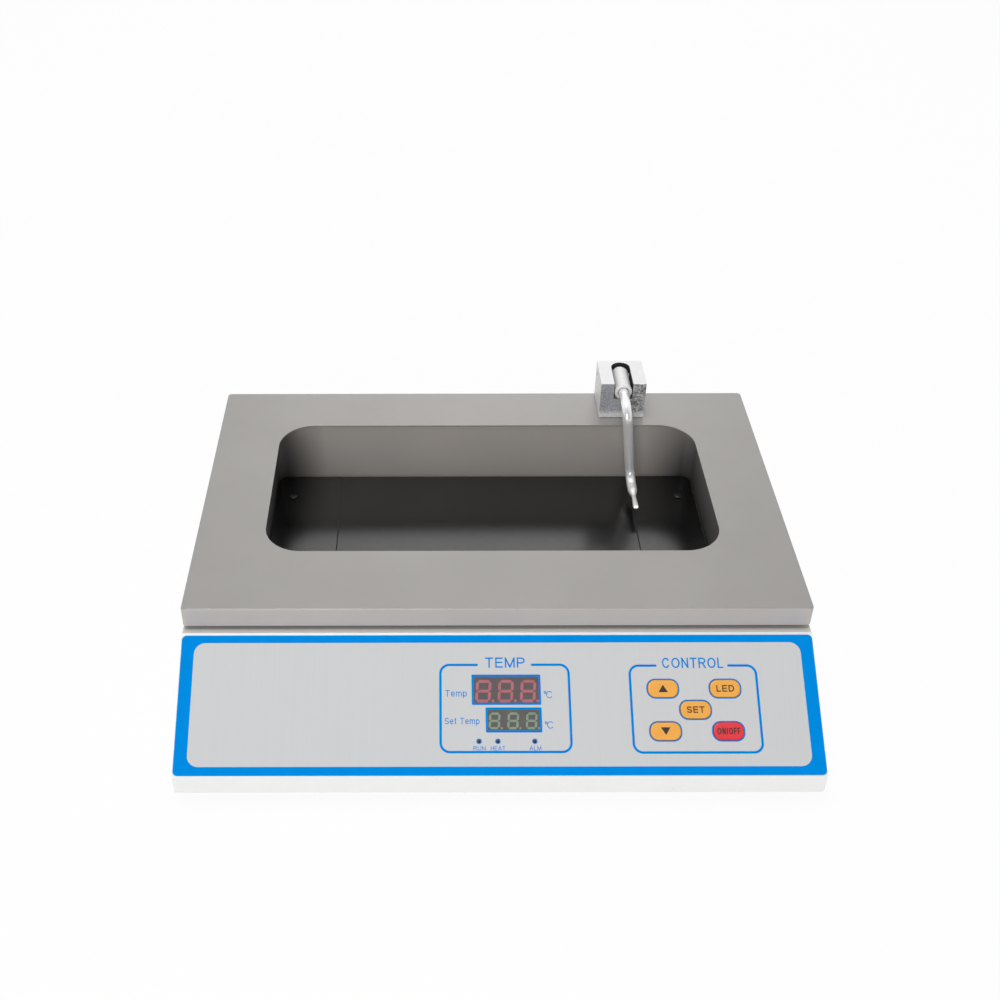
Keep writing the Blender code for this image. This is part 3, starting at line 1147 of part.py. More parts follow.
def make_holder_block():
    """Milled block with a slot open to the front and top, on two screws from below."""
    low = (BLOCK_X - BLOCK_WIDTH / 2, BLOCK_FRONT_Y, BLOCK_BOTTOM_Z)
    high = (BLOCK_X + BLOCK_WIDTH / 2, BLOCK_BACK_Y, BLOCK_BOTTOM_Z + BLOCK_HEIGHT)
    bm = box_mesh(low, high)
    bmesh.ops.bevel(bm, geom=list(bm.edges), offset=BLOCK_EDGE, segments=1, affect="EDGES")
    block = add_piece("holder_block", bm, "milled_aluminium")
    half = SLOT_WIDTH / 2
    back = [(BLOCK_X + half * math.cos(angle), PIVOT_Y + half * math.sin(angle))
            for angle in (math.pi * k / ROD_SIDES for k in range(ROD_SIDES + 1))]
    front_y = BLOCK_FRONT_Y - OVERRUN
    outline = back + [(BLOCK_X - half, front_y), (BLOCK_X + half, front_y)]
    slot = prism_mesh([outline], BLOCK_BOTTOM_Z + SLOT_FLOOR, BLOCK_BOTTOM_Z + BLOCK_HEIGHT + OVERRUN)
    cut(block, add_piece("slot_tool", slot))
    cross = Vector((BLOCK_WIDTH / 2 + OVERRUN, 0, 0))
    cut(block, add_piece("pivot_hole_tool", rod_mesh(PIVOT_RADIUS + PIVOT_FIT, PIVOT - cross, PIVOT + cross)))
    cut(block, *block_screw_tools("block_screw_hole"))
    cut(block, lead_hole_tool("block_lead_hole"))
    pin_reach = Vector((BLOCK_WIDTH / 2 - GAP, 0, 0))
    add_piece("pivot_pin", rod_mesh(PIVOT_RADIUS, PIVOT - pin_reach, PIVOT + pin_reach), "zinc_steel")
    for name, x, y in block_screw_places():
        head_top = PLATE_UNDER_Z - GAP
        screw = turned_mesh([
            (BLOCK_SCREW_HEAD_RADIUS, head_top - BLOCK_SCREW_HEAD), (BLOCK_SCREW_HEAD_RADIUS, head_top),
            (BLOCK_SCREW_RADIUS, head_top), (BLOCK_SCREW_RADIUS, BLOCK_BOTTOM_Z + BLOCK_SCREW_LENGTH)],
            upright(x, y, 0), SMALL_SIDES)
        add_piece(f"block_screw_{name}", screw, "zinc_steel")


def make_probe_sleeve(joint):
    """White sleeve that holds the rod, with a domed rear end round the pivot pin."""
    reach = PIVOT_Y - BLOCK_FRONT_Y + SLEEVE_FRONT_PROUD
    bore = ROD_RADIUS + GAP
    profile = []
    for k in range(CORNER_STEPS):
        angle = math.pi / 2 * (1 - (k + 0.5) / CORNER_STEPS)
        profile.append((SLEEVE_RADIUS * math.cos(angle), -SLEEVE_RADIUS * math.sin(angle)))
    profile += [
        (SLEEVE_RADIUS, 0), (SLEEVE_RADIUS, reach - SLEEVE_CHAMFER),
        (SLEEVE_RADIUS - SLEEVE_CHAMFER, reach), (bore, reach),
        (bore, reach - SLEEVE_BORE_DEPTH)]
    forward = Matrix.Rotation(math.pi / 2, 4, "X")
    place = Matrix.Translation(PIVOT)
    sleeve = add_piece("probe_sleeve", turned_mesh(profile, forward), "white_plastic", place)
    cross = Vector((SLEEVE_RADIUS + OVERRUN, 0, 0))
    hole = add_piece("sleeve_hole_tool", rod_mesh(PIVOT_RADIUS + PIVOT_FIT, -cross, cross), place=place)
    cut(sleeve, hole)
    sleeve.parent = joint
    sleeve.matrix_parent_inverse = joint.matrix_world.inverted()


def rod_path():
    """Middle line of the rod as (forward, up) from the pivot: out, down, and forward again."""
    start = PIVOT_Y - BLOCK_FRONT_Y + SLEEVE_FRONT_PROUD - SLEEVE_BORE_DEPTH + GAP
    upright_at = PIVOT_Y - BLOCK_FRONT_Y + ROD_REACH
    radius = ROD_BEND_RADIUS
    path = [(start, 0.0)]
    for k in range(ROD_BEND_STEPS + 1):
        angle = math.pi / 2 * k / ROD_BEND_STEPS
        path.append((upright_at - radius + radius * math.sin(angle), radius * (math.cos(angle) - 1)))
    for k in range(ROD_BEND_STEPS + 1):
        angle = math.pi / 2 * k / ROD_BEND_STEPS
        lower = radius - ROD_DROP - radius * math.sin(angle)
        path.append((upright_at + radius * (1 - math.cos(angle)), lower))
    path.append((upright_at + ROD_FOOT - ROD_RADIUS, -ROD_DROP))
    return path


def make_probe_rod(joint):
    """Bent stainless tube, closed and rounded at its lower end."""
    side = Vector((math.cos(ROD_TWIST), 0, math.sin(ROD_TWIST)))
    up = Vector((-math.sin(ROD_TWIST), 0, math.cos(ROD_TWIST)))
    ahead = Vector((0, -1, 0))
    points = [ahead * forward + up * height for forward, height in rod_path()]
    stations = []
    for k, point in enumerate(points):
        before, after = points[max(k - 1, 0)], points[min(k + 1, len(points) - 1)]
        stations.append((point, (after - before).normalized(), ROD_RADIUS))
    tip, along, _ = stations[-1]
    for k in range(1, 4):
        angle = math.pi / 2 * k / 3.3
        stations.append((tip + along * ROD_RADIUS * math.sin(angle), along, ROD_RADIUS * math.cos(angle)))
    loops = []
    for point, along, radius in stations:
        across = side.cross(along)
        loops.append([
            point + radius * (side * math.cos(turn) + across * math.sin(turn))
            for turn in (math.tau * k / ROD_SIDES for k in range(ROD_SIDES))])
    rod = add_piece("probe_rod", stack_mesh(loops), "polished_steel", Matrix.Translation(PIVOT))
    rod.parent = joint
    rod.matrix_parent_inverse = joint.matrix_world.inverted()


def make_probe():
    joint = bpy.data.objects.new("probe_joint", None)
    joint.location = PIVOT
    bpy.context.scene.collection.objects.link(joint)
    bpy.context.view_layer.update()
    make_probe_sleeve(joint)
    make_probe_rod(joint)


def smooth_route(points, steps=4):
    """Points along a smooth curve through hand-chosen ones, straight at both ends."""
    chosen = [Vector(point) for point in points]
    route = [chosen[0]]
    for k in range(1, len(chosen) - 2):
        a, b, c, d = chosen[k - 1:k + 3]
        for step in range(steps):
            t = step / steps
            route.append(0.5 * (2 * b + (c - a) * t + (2 * a - 5 * b + 4 * c - d) * t ** 2
                                + (3 * b - a - 3 * c + d) * t ** 3))
    return route + chosen[-2:]


def make_lead(name, points, radius=LEAD_RADIUS):
    """A lead as a round bar along a smooth route."""
    curve = bpy.data.curves.new(name, "CURVE")
    curve.dimensions = "3D"
    curve.bevel_depth = radius
    curve.bevel_resolution = 2
    curve.use_fill_caps = True
    spline = curve.splines.new("POLY")
    route = smooth_route(points)
    spline.points.add(len(route) - 1)
    for target, point in zip(spline.points, route):
        target.co = (*point, 1)
    piece = bpy.data.objects.new(name, curve)
    bpy.context.scene.collection.objects.link(piece)
    curve.materials.append(finish("lead_grey"))


def terminal_lead_z():
    return POWER_TOP_Z + TERMINAL_HEIGHT / 2


def make_mains_lead():
    """From the inlet down the left side of the tank to the input terminal."""
    side_x = -(TANK_OUTER_X + HALF_WIDTH) / 2
    low_z = FLANGE_UNDER_Z + SHEET + 2 * LEAD_RADIUS
    inlet_y = HOUSING_BACK_Y - INLET_BODY_DEPTH
    end_x = POWER_X - POWER_WIDTH / 2 + POWER_POST_EDGE / 2 - GAP
    end_y = POWER_MID_Y + TERMINAL_DEPTH / 2
    make_lead("mains_lead", [
        (INLET_X, inlet_y, INLET_Z), (INLET_X, inlet_y - LEAD_STEP / 2, INLET_Z),
        (side_x, inlet_y - 2 * LEAD_STEP, low_z), (side_x, OPENING_MID_Y, low_z),
        (side_x, end_y + 3 * LEAD_STEP, low_z), (side_x + LEAD_RADIUS, end_y, terminal_lead_z()),
        (end_x, end_y, terminal_lead_z())])


def make_heater_lead():
    """From the output terminal to the front edge of the heater mat."""
    under_z = TANK_BOTTOM_Z - 2 * GAP - LEAD_RADIUS
    mat_y = OPENING_MID_Y - HEATER_DEPTH / 2 - GAP
    out_x = POWER_X + POWER_POST_EDGE / 2
    out_y = terminal_y() + TERMINAL_DEPTH + GAP
    end_x = -HEATER_WIDTH / 4
    make_lead("heater_lead", [
        (out_x, out_y, terminal_lead_z()), (out_x, out_y + LEAD_STEP, terminal_lead_z()),
        (out_x + LEAD_STEP, mat_y - 3 * LEAD_STEP, under_z), (end_x, mat_y - LEAD_STEP, under_z),
        (end_x, mat_y, under_z)])


def make_cutout_lead():
    """From the thermal cut-out on the tank to the output terminal."""
    collar_y = OPENING_MID_Y - TANK_OUTER_Y - GAP - CUTOUT_BODY - CUTOUT_COLLAR
    cutout_z = (TANK_BOTTOM_Z + HOUSING_TOP_Z) / 2
    end_x = POWER_X + POWER_POST_EDGE / 2 + TERMINAL_WIDTH / 2 + GAP
    end_y = terminal_y() + TERMINAL_DEPTH / 2
    end_z = terminal_lead_z()
    make_lead("cutout_lead", [
        (0, collar_y - GAP, cutout_z), (0, collar_y - LEAD_STEP, cutout_z),
        (end_x / 2, end_y, (cutout_z + end_z) / 2), (end_x + 3 * LEAD_STEP, end_y, end_z),
        (end_x, end_y, end_z)])


def make_signal_lead():
    """From the back of the control board to the power board."""
    start = BOARD_TOP - BOARD_THICKNESS - GAP
    end_x = POWER_X + POWER_WIDTH / 2 - SIGNAL_IN
    end_y = POWER_MID_Y + TERMINAL_DEPTH
    high_z = POWER_TOP_Z + TERMINAL_HEIGHT
    make_lead("signal_lead", [
        panel_point(SIGNAL_X, SIGNAL_DOWN, start), panel_point(SIGNAL_X, SIGNAL_DOWN, start - LEAD_STEP),
        (SIGNAL_X + (end_x - SIGNAL_X) / 2, POWER_MID_Y - 2 * LEAD_STEP, high_z),
        (end_x, end_y, high_z), (end_x, end_y, POWER_TOP_Z + GAP)])


def make_probe_lead():
    """From the holder block through the plate, down behind the tank and under it."""
    lead_x = BLOCK_X + PROBE_LEAD_SHIFT
    top = BLOCK_BOTTOM_Z + SLOT_FLOOR - GAP
    behind_y = OPENING_MID_Y + TANK_OUTER_Y + TANK_CLEARANCE / 2
    between_z = (FLANGE_BOTTOM_Z + HOUSING_TOP_Z) / 2
    low_z = FLANGE_UNDER_Z + SHEET + 2 * LEAD_RADIUS
    board = BOARD_TOP - BOARD_THICKNESS - GAP
    make_lead("probe_lead", [
        (BLOCK_X, LEAD_HOLE_Y, top), (BLOCK_X, LEAD_HOLE_Y, PLATE_UNDER_Z),
        (BLOCK_X, LEAD_HOLE_Y - LEAD_RADIUS, FLANGE_BOTTOM_Z - LEAD_RADIUS),
        (BLOCK_X, (LEAD_HOLE_Y + behind_y) / 2, between_z), (BLOCK_X, behind_y, HOUSING_TOP_Z - LEAD_RADIUS),
        (BLOCK_X, behind_y, TANK_BOTTOM_Z), (lead_x, behind_y - 2 * LEAD_STEP, low_z),
        (lead_x, OPENING_MID_Y, low_z), (lead_x, PLATE_FRONT_Y + 2 * LEAD_STEP, low_z),
        panel_point(lead_x, PROBE_LEAD_DOWN, board - 2 * LEAD_STEP),
        panel_point(lead_x, PROBE_LEAD_DOWN, board)])


def make_leads():
    make_mains_lead()
    make_heater_lead()
    make_cutout_lead()
    make_signal_lead()
    make_probe_lead()


def main():
    clear_scene()
    make_top_plate()
    make_gasket()
    make_tank()
    make_floor()
    make_heater()
    make_light_boards()
    make_plate_rails()
    make_housing()
    make_base()
    make_feet()
    make_film()
    make_displays()
    make_keys()
    make_lamps()
    make_control_board()
    make_power_board()
    make_inlet()
    make_holder_block()
    make_probe()
    make_leads()


main()
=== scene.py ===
"""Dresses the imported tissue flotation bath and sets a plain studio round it.

Metres, +X to the right, +Y to the rear, +Z up. Sizes are real sizes.
"""

from math import acos, atan2, copysign, cos, dist, hypot, pi, radians, sin, sqrt, tan, tau
from types import SimpleNamespace

import bmesh
import bpy
from mathutils import Matrix, Vector


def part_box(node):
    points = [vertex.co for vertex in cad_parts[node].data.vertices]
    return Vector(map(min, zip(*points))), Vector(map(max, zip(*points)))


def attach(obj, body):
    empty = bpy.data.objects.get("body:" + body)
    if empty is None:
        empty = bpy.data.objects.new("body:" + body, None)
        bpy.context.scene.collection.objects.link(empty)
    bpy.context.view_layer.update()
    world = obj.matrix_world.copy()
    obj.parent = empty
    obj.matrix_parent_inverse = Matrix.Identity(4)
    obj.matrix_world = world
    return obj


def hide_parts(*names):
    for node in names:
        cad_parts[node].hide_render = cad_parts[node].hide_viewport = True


MM = 0.001


def sizes(**group):
    """A group of named sizes, given in millimetres."""
    return SimpleNamespace(**{name: size * MM for name, size in group.items()})


def rows(**table):
    """Rows of sizes by name, given in millimetres."""
    return {name: [size * MM for size in row] for name, row in table.items()}


# Fits and steps
GAP = 0.3 * MM
OVERRUN = 3 * MM
WELD_REACH = 1e-7
ARC_STEPS = 14                  # facets in a large rounded corner
FINE_STEPS = 6                  # facets in a small one
TINY_STEPS = 3                  # facets in a tiny one
CUT_STEPS = 1                   # a corner that is cut off straight
QUARTER = [pi / 2 * step / FINE_STEPS for step in range(FINE_STEPS + 1)]
MITRE_SHARE = 0.5               # least cosine that a bend of a strip is widened by
ROUND_SIDES = 48
SMALL_SIDES = 24
SMOOTH_ANGLE = radians(32)
FACE_WEIGHT = 100

# Case, plate, tank and floor, as the solids have them
SHEET = 1.2 * MM
CASE = sizes(
    width=356, depth=290, height=54.6, front_lip=12.9, feet=10, shadow_gap=2.9, panel_run=68.3, ledge=2.7,
    setback=2, fold=1.5, base_flange=14, base_gusset=28)
SIDE_EDGE_SHARE = 0.35          # side edges of the case, of the fold radius
PLATE = sizes(
    inset=0.5, sheet=1.2, lip=13, corner=2.2, bend=0.8, edge=0.25, side_margin=40.8, front_margin=50.2,
    rear_margin=39.2, opening_corner=22.3)
WEAR_SHARE = 0.3                # first step of the worn edge of the opening
FOLD_TURN_SHARE = 0.5           # a face of the plate that stands steeper belongs to its fold; at the front these get a painted sheen
STUD = sizes(radius=2, side=9.5, end=26, below=4, nut_radius=3.6, nut=2.4)
NUT_SIDES = 6
# TANK also gives how far in from each end the tank's painted shade reaches
TANK = sizes(
    overhang=6, corner=7, sheet=0.8, flange_side=16, flange_end=12, bend=1, water=46.5, clearance=6,
    gasket=1, dull_reach=34, port_width=22, port_corner=2.5)
LIGHT_PORT_SHARE = 0.52
FLOOR = sizes(thickness=2, window=44.7, seam=0.6, clearance=1.3, edge=0.2, slack=0.02, bead_below=0.25)
SCREW = sizes(side=12, end=24, radius=1.25, head_radius=2.4, head=0.7)
HEAD_FLAT_SHARE = 1 / 3         # flat middle of a domed head, of its radius
HEAD_SKIRT_SHARE = 1 / 4        # upright edge of a domed head, of its height
# Half length, half width and depth of a cross recess, of the radius of the head
RECESS_SHARES = (0.62, 0.13, 0.3)
VENT = sizes(width=3, length=22, pitch=9, side=118)
VENT_COUNT = 8
FOOT = sizes(side=25, front=26, rear=24, radius=9, taper=1.2, well_radius=4.6, well=5, rib=0.35)
FOOT_RIB_COUNT = 4
FIXING = sizes(radius=2, head_radius=3.8, head=2.4, above=3, pitch=0.7, thread=0.3)

# Panel film and print. Rows are places and sizes in millimetres, along X from the
# middle and down the slope from the upper edge of the panel.
FILM = sizes(gap=0.15, thickness=0.5, side=0.5, top=1.6, bottom=0.6, corner=2.6)
INK = 0.03 * MM                 # thickness of a printed layer
INK_STEP = 0.0008 * MM          # each stroke of a word lies this much lower than the last
FIELD = sizes(side=7.3, top=4.3, bottom=4.7, corner=6.2)
BOX_LINE = 1.35 * MM
BOX_RADIUS = 5 * MM
# Left, right, top and bottom, then the gap in the upper line from left to right
PRINT_BOXES = rows(
    temp_box=(-31.9, 39.6, 18.6, 66.9, -11.6, 19.3),
    control_box=(73.6, 144, 19.2, 67.3, 88.2, 129))
# Left, right, top, bottom and stroke
WORDS = {
    "temp_heading": ("TEMP", -6.9, 15.3, 14.4, 20.2, 0.8),
    "control_heading": ("CONTROL", 92, 126.1, 14.7, 20.6, 0.8),
    "temp_word": ("Temp", -29.3, -17.3, 32.8, 36.4, 0.42),
    "set_temp_word": ("Set Temp", -29.6, -10.5, 48.2, 51.7, 0.42),
    "temp_degrees": ("°C", 25.4, 30.2, 33.4, 37.4, 0.42),
    "set_degrees": ("°C", 25.4, 30.2, 50.2, 54.2, 0.42),
    "run_word": ("RUN", -14.1, -7.4, 63.7, 66, 0.32),
    "heat_word": ("HEAT", -4.6, 3.4, 63.7, 66, 0.32),
    "alarm_word": ("ALM", 16.6, 23, 63.7, 66, 0.32),
}
# Width, height and stroke
KEY_WORDS = {
    "light": ("LED", 9.8, 3.7, 0.62),
    "set": ("SET", 9.8, 3.6, 0.62),
    "power": ("ON/OFF", 12.6, 3.6, 0.56),
}
# Each letter: its width, of the height of a capital, then its strokes. A stroke
# is a row of (x, y) points and (x, y, reach x, reach y, from, to) arcs in shares
# of the letter's box. A pair of points with level ends is a slanted bar.
LETTER_SHARES = {
    " ": (0.3, [], []),
    "A": (0.88, [[(0.2, 0.28), (0.8, 0.28)]], [((0, 0), (0.5, 1)), ((1, 0), (0.5, 1))]),
    "C": (0.9, [[(0.5, 0.5, 0.5, 0.5, 40, 320)]], []),
    "D": (0.82, [[(0, 0), (0, 1), (0.5, 1), (0.5, 0.5, 0.5, 0.5, 90, -90), (0.04, 0)]], []),
    "E": (0.74, [[(1, 1), (0, 1), (0, 0), (1, 0)], [(0, 0.52), (0.93, 0.52)]], []),
    "F": (0.68, [[(0, 0), (0, 1), (1, 1)], [(0, 0.5), (0.9, 0.5)]], []),
    "H": (0.8, [[(0, 0), (0, 1)], [(1, 0), (1, 1)], [(0, 0.52), (1, 0.52)]], []),
    "L": (0.66, [[(0, 1), (0, 0), (1, 0)]], []),
    "M": (0.98, [[(0, 0), (0, 1)], [(1, 0), (1, 1)]], [((0, 1), (0.5, 0)), ((1, 1), (0.5, 0))]),
    "N": (0.8, [[(0, 0), (0, 1)], [(1, 0), (1, 1)]], [((0, 1), (1, 0))]),
    "O": (0.98, [[(0.5, 0.5, 0.5, 0.5, 0, 360)]], []),
    "P": (0.78, [[(0, 0), (0, 1), (0.55, 1), (0.55, 0.73, 0.45, 0.27, 90, -90), (0, 0.46)]], []),
    "R": (0.84, [[(0, 0), (0, 1), (0.55, 1), (0.55, 0.75, 0.45, 0.25, 90, -90), (0, 0.5)]],
          [((0.55, 0.5), (1, 0))]),
    "S": (0.8, [[(0.5, 0.745, 0.47, 0.255, 30, 270), (0.5, 0.245, 0.5, 0.245, 90, -150)]], []),
    "T": (0.8, [[(0, 1), (1, 1)], [(0.5, 0), (0.5, 1)]], []),
    "U": (0.8, [[(0, 1), (0, 0.34), (0.5, 0.34, 0.5, 0.34, 180, 360), (1, 1)]], []),
    "e": (0.68, [[(0, 0.37), (1, 0.37), (0.5, 0.37, 0.5, 0.37, 0, 315)]], []),
    "m": (1, [[(0, 0), (0, 0.74)], [(0, 0.48), (0.25, 0.5, 0.25, 0.24, 180, 0), (0.5, 0)],
              [(0.5, 0.48), (0.75, 0.5, 0.25, 0.24, 180, 0), (1, 0)]], []),
    "p": (0.68, [[(0, -0.3), (0, 0.74)], [(0.5, 0.37, 0.5, 0.37, 0, 360)]], []),
    "t": (0.36, [[(0.45, 1), (0.45, 0.15), (0.95, 0.15, 0.5, 0.15, 180, 270)], [(0, 0.72), (1, 0.72)]], []),
    "/": (0.4, [], [((0, 0), (1, 1))]),
    "°": (0.36, [[(0.5, 0.83, 0.5, 0.17, 0, 360)]], []),
}
LETTER_GAP_SHARE = 0.2          # between letters, of the height of a capital
DEGREE_GAP_SHARE = -0.04        # after a degree ring
ARC_TURN = 15                   # degrees of a letter's arc to a step
POINT_REACH = 1e-6              # points of a stroke that are nearer are one

# Keys, displays and lamps
KEY = sizes(
    width=16.6, height=9.6, clearance=0.25, ring=0.6, proud=0.7, depth=4.2, flange=1, crown=1.1,
    left_side=86.5, column=34.5, top=32.2, row=23.6, arrow_half=2.6, arrow_rise=4.2)
KEY_END_SHARE = 0.88            # radius of a key end, of half its height
KEY_CROWN_SHARE = 1 / 3         # height of its soft edge, of how far that reaches in
# Middle, middle down, width and height of each window
WINDOWS = rows(temp=(4.6, 32.6, 38, 16.6), set=(8.4, 49.4, 30.6, 13.4))
WINDOW_FIT = 0.2 * MM
WINDOW_FRAME = 0.95 * MM
PANE_STEPS = 2
# Middle, middle down, pitch, width, height and stroke of the digits in each window
DIGITS = rows(temp=(4.3, 33.4, 12.4, 8.6, 12.5, 1.6), set=(8, 49.9, 10.2, 6.3, 9.3, 1.3))
DIGIT_COUNT = 3
DIGIT_SLANT = radians(4.5)
BAR_SLACK_SHARE = 0.12          # between the bars of a digit, of their stroke
POINT_SHARE = 0.55              # from a digit to its point, of the stroke
LAMPS = vars(sizes(run=-10.9, heat=-0.6, alarm=19.6))
LAMP = sizes(
    down=61.1, radius=0.85, fit=0.15, ring=0.5, proud=0.35, base=1.5, flange_radius=1.9, flange=1, depth=8)
LENS_FLAT_SHARE = 0.2           # flat middle of a lens, of its radius

# Mains inlet and fuse drawer
INLET = sizes(
    side=50, face_width=31, face_height=38, face=1.6, face_corner=3, edge=0.5, body_width=27, body_height=34,
    body_depth=23, body_corner=1.5, hidden=2)
SOCKET = sizes(width=24, height=16.4, depth=18, chamfer=4, up=6.4)
PIN = sizes(width=2, height=4, length=12, pitch=7, earth_drop=4, edge=0.35)
DRAWER = sizes(width=22, height=7, depth=19, face=1.4, down=10.6, grip=0.8, edge=0.3)

# Holder block and probe
BLOCK = sizes(
    width=30, depth=29, height=26.7, side=86.3, rear_margin=1.5, edge=0.55, slot=12.4, slot_floor=14.3,
    rear_wall=2, lead_hole=2.3, lead_back=14.5, screw_pitch=21, screw_back=5, screw_hole=2.2,
    screw_length=13.3)
BLOCK_EDGE_STEPS = 3
BLOCK_EDGE_TURN = 50            # degrees between faces whose edge is softened
BLOCK_FOOT_HIGHLIGHT = 6 * MM             # height of the painted highlight along the foot of its front face
SLOT_SHADE = 0.05 * MM          # the painted shade of the slot reaches this far past its walls
# The sleeve is thinner than the bead at its mouth by the size of its neck
SLEEVE = sizes(radius=5.8, proud=0.8, bead=2.6, neck=0.15, bore=13, lip=1)
PIVOT_HOLE = 1.7 * MM
ROD = sizes(radius=3.2, bend=11, reach=20.5, drop=57, foot=33)
ROD_TWIST = radians(7)
ROD_SIDES = 40
ROD_BEND_STEPS = 20
# The drawn and pressed stretch of the rod before its end
TIP = sizes(length=20, neck=1.5, half_width=1.95, half_height=1.5, groove=0.45)
TIP_STEPS = 24
TIP_NECK_SHARE = 0.4            # where the tip is narrowest, along its length
TIP_ROUND_SHARE = 0.1           # length of the rounded end, of the tip
TIP_LEAST_SHARE = 0.05          # square of how far the end still is open, of its height
GROOVE_POWER = 9                # the higher, the narrower the groove

# Finishes and painted light by face direction: where a face counts as turned away from an axis, and as level
TURNED = (-0.7, -0.3)
LEVEL = (0.92, 0.98)
GRAIN_BLOTS = 25                # mottling and uneven gloss of a finish, of its grain
GRAIN_CLOUDS = 12

# Camera, solved from the photograph's corners
CAMERA_PLACE = (-36.29 * MM, -610.43 * MM, 577.55 * MM)
CAMERA_PITCH = 0.63911
CAMERA_YAW = -0.00208
CAMERA_ROLL = -0.00321
SENSOR_WIDTH = 36
LENS_LENGTH = 46.8
LENS_SHIFT = (0.07007, -0.03239)

# Studio
WHITE = (1, 1, 1)
WORLD_LIGHT = 0.42
WORLD_FRONT = 0.2               # how bright metal sees the studio behind the camera
WORLD_FADE = (-0.6, 0.1)        # the studio brightens between these directions along Y
FLOOR_SPAN = 12
FLOOR_GREY = (0.9, 0.9, 0.9)
FLOOR_GLOW = 0.94
LIGHTS = {
    "key_light": ((-0.3, -0.15, 2.5), 1.3, 25),
    "front_light": ((-0.45, -2.3, 0.8), 1.3, 20),
    "back_light": ((0.1, 1.9, 1.1), 1.2, 4.5),
}

# Places that follow
SIDES = {"left": -1, "right": 1}
HALF_X = CASE.width / 2
PLATE_WIDTH = CASE.width - 2 * PLATE.inset
PLATE_DEPTH = CASE.depth - CASE.panel_run - CASE.ledge
OPENING_WIDTH = PLATE_WIDTH - 2 * PLATE.side_margin
OPENING_DEPTH = PLATE_DEPTH - PLATE.front_margin - PLATE.rear_margin
FRONT_Y = -CASE.depth / 2
BACK_Y = CASE.depth / 2
PLATE_Y = BACK_Y - PLATE_DEPTH
CASE_BACK_Y = BACK_Y - CASE.setback
BASE_Z = CASE.feet
BASE_FLANGE_Z = BASE_Z + SHEET + GAP
CASE_Z = BASE_Z + CASE.height
CASE_MID_Z = BASE_Z + CASE.height / 2
PLATE_Z = CASE_Z + CASE.shadow_gap + PLATE.lip
UNDER_Z = PLATE_Z - PLATE.sheet
MID_Y = PLATE_Y + PLATE.front_margin + OPENING_DEPTH / 2
TANK_X = OPENING_WIDTH / 2 + TANK.overhang
TANK_Y = OPENING_DEPTH / 2 + TANK.overhang
FLOOR_Z = PLATE_Z - TANK.water
TANK_FLOOR_Z = FLOOR_Z - FLOOR.thickness - GAP
TANK_UNDER_Z = TANK_FLOOR_Z - TANK.sheet
TANK_FLANGE_Z = UNDER_Z - TANK.gasket - 2 * GAP
FLANGE_REACH = TANK.flange_end + TANK.sheet
SEAM_X = TANK_X - FLOOR.window
PANEL_Y = PLATE_Y - CASE.ledge
PANEL_RISE = CASE.height - CASE.front_lip
PANEL_LENGTH = hypot(PANEL_RISE, CASE.panel_run)
PANEL_ANGLE = atan2(PANEL_RISE, CASE.panel_run)
PANEL = Matrix.Translation((0, PANEL_Y, CASE_Z)) @ Matrix.Rotation(PANEL_ANGLE, 4, "X")
PANEL_UNDER = -SHEET - GAP
FILM_TOP = FILM.gap + FILM.thickness
FIELD_TOP = FILM_TOP + INK
PRINT_TOP = FIELD_TOP + INK
KEY_TOP = FILM_TOP + KEY.proud
KEY_X = HALF_X - KEY.left_side
KEYS = {
    name: (KEY_X + KEY.column * column, KEY.top + KEY.row * row)
    for name, column, row in (
        ("up", 0, 0), ("down", 0, 1), ("set", 0.5, 0.5), ("light", 1, 0), ("power", 1, 1))}
INLET_TOP = GAP + INLET.face
BLOCK_X = PLATE_WIDTH / 2 - BLOCK.side
BLOCK_BACK_Y = BACK_Y - BLOCK.rear_margin
BLOCK_Y = BLOCK_BACK_Y - BLOCK.depth
BLOCK_Z = PLATE_Z + GAP
SLOT_Z = BLOCK_Z + BLOCK.slot_floor
PIVOT_Y = BLOCK_BACK_Y - BLOCK.rear_wall - BLOCK.slot / 2
PIVOT = Vector((BLOCK_X, PIVOT_Y, SLOT_Z + SLEEVE.radius + GAP))
SLEEVE_REACH = PIVOT_Y - BLOCK_Y + SLEEVE.proud

# Rounded rectangles: half width, half depth, corner radius, middle and steps of a corner
OPENING_FORM = (OPENING_WIDTH / 2, OPENING_DEPTH / 2, PLATE.opening_corner, (0, MID_Y), ARC_STEPS)
TANK_FORM = (TANK_X, TANK_Y, TANK.corner, (0, MID_Y), ARC_STEPS)
FLANGE_FORM = (
    TANK_X + TANK.flange_side + TANK.sheet, TANK_Y + FLANGE_REACH, TANK.corner + FLANGE_REACH,
    (0, MID_Y), ARC_STEPS)
INLET_BODY_FORM = (INLET.body_width / 2, INLET.body_height / 2, INLET.body_corner, (0, 0), FINE_STEPS)
INLET_FACE_FORM = (INLET.face_width / 2, INLET.face_height / 2, INLET.face_corner, (0, 0), FINE_STEPS)


def four_places(half_x, front_y, rear_y):
    """Name, x and y of a place near each corner."""
    return [
        (f"{row}_{name}", side * half_x, y)
        for name, side in SIDES.items() for row, y in (("front", front_y), ("rear", rear_y))]


STUDS = four_places(PLATE_WIDTH / 2 - STUD.side, PLATE_Y + STUD.end, BACK_Y - STUD.end)
SCREWS = four_places(TANK_X - SCREW.side, MID_Y - TANK_Y + SCREW.end, MID_Y + TANK_Y - SCREW.end)
FEET = sorted(four_places(HALF_X - FOOT.side, FRONT_Y + FOOT.front, CASE_BACK_Y - FOOT.rear))

